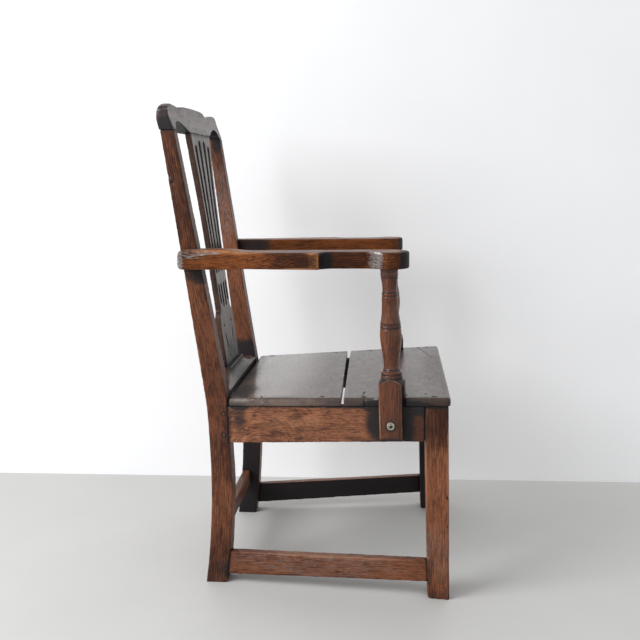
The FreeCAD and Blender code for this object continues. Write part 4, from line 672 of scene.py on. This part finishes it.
def highlight_line_share(points, node):
    """How bright the painted highlight lines are at each place, broken up along their length."""
    out = np.zeros(len(points))
    for name, line, half_width, strength in PAINTED_HIGHLIGHT_LINES:
        if name == node:
            distance = to_line(points * SIDE_WEIGHT, [np.array(place) * SIDE_WEIGHT for place in line])
            share = np.clip(LINE_CORE - distance / half_width, 0.0, 1.0)
            for k in np.nonzero(share)[0]:
                broken = noise.noise(Vector(points[k] * HIGHLIGHT_BREAK_GRAIN))
                share[k] *= HIGHLIGHT_BREAK_LEVEL + HIGHLIGHT_BREAK_RANGE * broken
            out = np.maximum(out, strength * share)
    return out


def middle_line(along, across, steps=34):
    """Middle of a piece at each place along its length."""
    edges = np.linspace(along.min(), along.max(), steps + 1)
    places, middles = [], []
    for low, high in zip(edges[:-1], edges[1:]):
        here = across[(along >= low) & (along <= high)]
        if len(here):
            places.append((low + high) / 2.0)
            middles.append((here.min() + here.max()) / 2.0)
    return np.interp(along, places, np.convolve(np.pad(middles, 2, "edge"), np.ones(5) / 5.0, "valid"))


def outline_reach(points, steps=60):
    """How far a piece reaches to its side at the height of each point."""
    height = points[:, 2]
    rows = np.minimum((steps * (height - height.min()) / np.ptp(height)).astype(int), steps - 1)
    reach = np.zeros(steps)
    np.maximum.at(reach, rows, np.abs(points[:, 0]))
    return reach[rows]


def grain_place(points, along, follow, heart, number):
    """Two directions across the grain, from the heart of the tree, and one along it."""
    across = [k for k in range(3) if k != along]
    out = np.empty_like(points)
    for column, (k, offset) in enumerate(zip(across, heart)):
        middle = middle_line(points[:, along], points[:, k]) if follow else points[:, k].mean()
        out[:, column] = points[:, k] - middle + offset
    out[:, 2] = points[:, along] + GRAIN_SHIFT * number
    return out


def neighbours(node):
    """Surface of every other solid, to find where dirt gathers."""
    low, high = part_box(node)
    verts, faces = [], []
    for other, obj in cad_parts.items():
        other_low, other_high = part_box(other)
        apart = any(other_low[k] > high[k] + GRIME_REACH or other_high[k] < low[k] - GRIME_REACH
                    for k in range(3))
        if other == node or apart:
            continue
        start = len(verts)
        verts.extend(v.co for v in obj.data.vertices)
        faces.extend([start + k for k in polygon.vertices] for polygon in obj.data.polygons)
    return BVHTree.FromPolygons(verts, faces)


def skin(node, solid, voxel, steps):
    """A fine even skin over the solid, with its arrises rounded."""
    mesh = bpy.data.meshes.new(node + "_solid")
    solid.to_mesh(mesh)
    rough = bpy.data.objects.new(node + "_solid", mesh)
    bpy.context.scene.collection.objects.link(rough)
    remesh = rough.modifiers.new("skin", "REMESH")
    remesh.mode = "VOXEL"
    remesh.voxel_size = voxel
    remesh.use_smooth_shade = True
    soften = rough.modifiers.new("soften", "SMOOTH")
    soften.factor = SOFTEN
    soften.iterations = steps
    graph = bpy.context.evaluated_depsgraph_get()
    out = bpy.data.meshes.new_from_object(rough.evaluated_get(graph))
    bpy.data.objects.remove(rough)
    out.name = node + "_skin"
    return out


def vectors(mesh, key):
    """The places or the normals of the vertices."""
    flat = np.empty(len(mesh.vertices) * 3, np.float32)
    mesh.vertices.foreach_get(key, flat)
    return flat.reshape(-1, 3).astype(float)


def store(mesh, name, values, kind="FLOAT"):
    layer = mesh.attributes.new(name, kind, "POINT")
    key = "vector" if kind == "FLOAT_VECTOR" else "value"
    layer.data.foreach_set(key, np.asarray(values, np.float32).ravel())


def stain_and_shade_share(points, normals, node):
    """Dark stains and painted shade from the table, inward faces low down drawn nearly black, painted shade
    in the splat's slots and under the crest rail, and the crest rail's darker ends.
    """
    stain = spot_share(points, node, STAINS_AND_SHADE)
    if any(part in node for part in INSIDE_PIECES):
        inward = ramp(-normals[:, 0] * np.sign(points[:, 0]), FACING_IN)
        stain = np.maximum(stain, INSIDE_DARKNESS * ramp(points[:, 2], INSIDE_FADE) * inward)
    sideways = ramp(np.abs(normals[:, 0]), FACING_SIDE)
    # Painted shade on the sides of the slots
    if node == "splat":
        inside = np.abs(points[:, 0]) < outline_reach(points) - SLOT_DEPTH
        stain = np.maximum(stain, SLOT_PAINTED_SHADE * sideways * inside)
    # Painted shade on the faces that look down, and darker ends
    if node == "crest_rail":
        stain = np.maximum(stain, UNDER_PAINTED_SHADE * ramp(-normals[:, 2], FACING_DOWN))
        stain = np.maximum(stain, END_STAIN * sideways * (np.abs(points[:, 0]) > END_X))
    return stain


def hand_work(points, edge, along, number):
    """Heights of the waves of the plane and of the dents along the arrises."""
    stretch = np.full(3, WAVE_ACROSS)
    stretch[along] = WAVE_ALONG
    height = np.empty(len(points))
    for k, point in enumerate(points):
        place = Vector(point * stretch)
        height[k] = noise.noise(place) * WAVE_HEIGHT
        if edge[k] > DENT_EDGE:
            dent = noise.noise(place * DENT_FINENESS + Vector((DENT_SHIFT * number, 0.0, 0.0)))
            height[k] -= DENT_DEPTH * edge[k] * max(0.0, dent - DENT_FOOT)
    return height


def damage(points, node):
    """Depth and darkness of the cracks and knocks of a piece."""
    depth, dark = np.zeros(len(points)), np.zeros(len(points))
    for name, line, half_width, deep in CRACKS:
        if name == node:
            here = near(to_line(points, line), 2.0 * half_width)
            depth += deep * here
            dark = np.maximum(dark, np.clip(CRACK_DARK * here, 0.0, 1.0))
    for name, centre, radius, deep in KNOCKS:
        if name == node:
            here = near(np.linalg.norm(points - np.array(centre), axis=1), radius)
            depth += deep * here
            dark = np.maximum(dark, np.clip(KNOCK_DARK * here, 0.0, KNOCK_DARKEST))
    return depth, dark


def turn_shoulder(points, normals):
    """Lowers the corners of a support's block onto a cone; gives where the cone and its rim lie."""
    height = points[:, 2]
    block = points[(height > SHOULDER_TOP - BLOCK_BAND[0]) & (height < SHOULDER_TOP - BLOCK_BAND[1])]
    middle = (block.min(axis=0) + block.max(axis=0)) / 2.0
    radius = np.hypot(points[:, 0] - middle[0], points[:, 1] - middle[1])
    cone = SHOULDER_TOP - SHOULDER_SLOPE * np.maximum(0.0, radius - SHOULDER_RADIUS)
    corner = (height < SHOULDER_TOP + SHOULDER_OVER) & (radius > SHOULDER_RADIUS - SHOULDER_IN)
    above = corner & (height > cone)
    height[above] = cone[above]      # a view, so this lowers the points themselves
    upright = np.clip(1.0 - 2.0 * np.abs(normals[:, 2]), 0.0, 1.0)
    rim = upright * near(np.abs(cone - height), SHOULDER_RIM) * (height < SHOULDER_TOP)
    return above * (1.0 - rim), rim


def age(mesh, node, solid, along, follow, heart, number):
    """Planing marks, knocks and cracks in the skin, and where wear, dirt, stains, painted shade and painted
    highlights lie.
    """
    points, normals = vectors(mesh, "co"), vectors(mesh, "normal")
    arrises, hollows, others = edge_tree(solid, True), edge_tree(solid, False), neighbours(node)
    edge = near_share(points, lambda p: arrises.find(p)[2], EDGE_REACH)
    grime = near_share(points, lambda p: others.find_nearest(p, GRIME_REACH)[3], GRIME_REACH)
    grime = np.maximum(grime, near_share(points, lambda p: hollows.find(p)[2], HOLLOW_REACH))
    stain = stain_and_shade_share(points, normals, node)
    depth, crack = damage(points, node)
    depth = hand_work(points, edge, along, number) - depth
    low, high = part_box(node)
    moved = np.clip(points + normals * depth[:, None], np.array(low), np.array(high))
    if node.startswith("arm_support_"):
        shoulder, rim = turn_shoulder(moved, normals)
        stain = np.maximum(stain, SHOULDER_STAIN * shoulder)
        turned = points[:, 2] > SHOULDER_TOP
        edge = np.maximum(np.where(turned, TURNED_WEAR * edge, edge), rim)
        for height in GROOVES:
            dirt = GROOVE_CORE - np.abs(points[:, 2] - height) / GROOVE_REACH
            grime = np.maximum(grime, turned * np.clip(dirt, 0.0, GROOVE_DIRT))
    elif node == "crest_rail":
        fill = smooth(near(np.abs(points[:, 0] - DIP_X), DIP_REACH))
        moved[:, 2] += DIP_RISE * fill * ramp(points[:, 2], DIP_HEIGHTS)
    elif node == "arm_right":
        rise = np.where(normals[:, 2] > 0.0, SWELL_UP, SWELL_DOWN) * normals[:, 2]
        moved[:, 2] += rise * smooth(ramp(points[:, 1], SWELL_PLACE))
    mesh.vertices.foreach_set("co", moved.astype(np.float32).ravel())
    kind = node.replace("_right", "").replace("_left", "")
    store(mesh, "tone", np.full(len(points), TONES.get(kind, 0.0)))
    store(mesh, "shade", shade_share(points, node))
    store(mesh, "grain", grain_place(points, along, follow, heart, number), "FLOAT_VECTOR")
    store(mesh, "edge", edge)
    store(mesh, "grime", grime)
    store(mesh, "stain", stain)
    store(mesh, "worn", spot_share(points, node, WORN))
    store(mesh, "pale", np.maximum(spot_share(points, node, PALE_AND_HIGHLIGHT_SPOTS), highlight_line_share(points, node)))
    store(mesh, "coarse", np.full(len(points), COARSE.get(kind, 0.0)))
    store(mesh, "arc", np.hypot(points[:, 1] - RAY_CENTRE[0], points[:, 2] - RAY_CENTRE[1]))
    store(mesh, "crack", crack)
    mesh.update()


def dress(node, kind, number):
    """Puts a worn wooden piece in place of a solid."""
    slot, voxel, steps, axis, follow, heart = PIECES[kind]
    solid = welded(node)
    mesh = skin(node, solid, voxel * MILLIMETRE, steps)
    age(mesh, node, solid, "xyz".index(axis), follow, heart, number)
    solid.free()
    mesh.materials.clear()
    mesh.materials.append(MATERIALS[slot])
    piece = bpy.data.objects.new(node + "_worn", mesh)
    bpy.context.scene.collection.objects.link(piece)
    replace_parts(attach(piece, "root"), node)


def lens_basis():
    """Right, up and forward of the camera."""
    yaw, pitch, roll = (math.radians(v) for v in (CAMERA_YAW, CAMERA_PITCH, CAMERA_ROLL))
    ahead = Vector((math.cos(yaw) * math.cos(pitch), math.sin(yaw) * math.cos(pitch), math.sin(pitch)))
    level = Vector((math.sin(yaw), -math.cos(yaw), 0.0))
    above = level.cross(ahead)
    return (level * math.cos(roll) + above * math.sin(roll), above * math.cos(roll) - level * math.sin(roll),
            ahead)


def make_camera():
    data = bpy.data.cameras.new("photo_camera")
    data.sensor_width = SENSOR
    data.lens = CAMERA_FOCAL_PX * SENSOR / IMAGE_PX
    data.shift_x = (IMAGE_PX / 2.0 - CAMERA_CENTRE_PX[0]) / IMAGE_PX
    data.shift_y = (CAMERA_CENTRE_PX[1] - IMAGE_PX / 2.0) / IMAGE_PX
    camera = bpy.data.objects.new("photo_camera", data)
    bpy.context.scene.collection.objects.link(camera)
    right, above, ahead = lens_basis()
    turn = Matrix((right, above, -ahead)).transposed().to_4x4()
    camera.matrix_world = Matrix.Translation(CAMERA_PLACE) @ turn
    bpy.context.scene.camera = camera


def make_plane(name, corners, material):
    mesh = bpy.data.meshes.new(name)
    mesh.from_pydata(corners, [], [(0, 1, 2, 3)])
    mesh.materials.append(material)
    plane = bpy.data.objects.new(name, mesh)
    bpy.context.scene.collection.objects.link(plane)
    return plane


def make_stage():
    """A floor, and a wall that neither mirrors in the chair nor keeps light from it."""
    size = STAGE_SIZE
    make_plane("floor", [(-size, -size, 0.0), (size, -size, 0.0), (size, size, 0.0), (-size, size, 0.0)],
               paint("floor_paint", FLOOR_COLOUR, FLOOR_ROUGHNESS))
    wall = make_plane("wall", [(WALL_X, size, 0.0), (WALL_X, -size, 0.0), (WALL_X, -size, size),
                               (WALL_X, size, size)],
                      paint("wall_paint", WALL_COLOUR, WALL_ROUGHNESS, WALL_GLOW))
    wall.visible_diffuse = False
    wall.visible_glossy = False
    wall.visible_shadow = False


def make_room():
    """The light of a soft room, brighter towards the window and the wall, and white to look at."""
    s = Shader(bpy.data.worlds.new("soft_room"))
    sides = {0: s.add("ShaderNodeTexCoord").outputs["Generated"], 1: Vector(ROOM_SIDE).normalized()}
    towards = s.add("ShaderNodeVectorMath", sides, operation="DOT_PRODUCT").outputs["Value"]
    level = s.span(towards, ROOM_FADE, (ROOM_DARK, ROOM_BRIGHT))
    plain = s.add("ShaderNodeBackground", {"Color": WHITE, "Strength": level}).outputs[0]
    bright = s.add("ShaderNodeBackground", {"Color": WHITE, "Strength": 1.0}).outputs[0]
    rays = s.add("ShaderNodeLightPath").outputs
    seen = rays["Is Camera Ray"]
    for output in ("Is Glossy Ray", "Is Transmission Ray"):
        seen = s.math("MAXIMUM", seen, rays[output])
    bpy.context.scene.world = s.finish(s.either(seen, plain, bright), "ShaderNodeOutputWorld")


def make_lamp():
    """One large lamp where the window is."""
    data = bpy.data.lights.new("window", "AREA")
    data.shape = "SQUARE"
    data.size = KEY_SIZE
    data.energy = KEY_POWER
    lamp = bpy.data.objects.new("window", data)
    bpy.context.scene.collection.objects.link(lamp)
    aim = Vector(KEY_AIM) - Vector(KEY_PLACE)
    lamp.matrix_world = Matrix.Translation(KEY_PLACE) @ aim.to_track_quat("-Z", "Y").to_matrix().to_4x4()


number = 0
for kind in PIECES:
    names = [kind] if kind in SINGLE_PIECES else [kind + "_" + side for side in SIDES]
    for name in names:
        number += 1
        dress(name, kind, number)
for name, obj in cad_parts.items():
    if obj.hide_render:
        continue
    for k, slot in enumerate(obj.material_slots):
        slot.material = MATERIALS[obj.data.materials[k].name.split(".")[0]]

make_camera()
make_stage()
make_room()
make_lamp()
bpy.context.scene.view_settings.view_transform = "Standard"
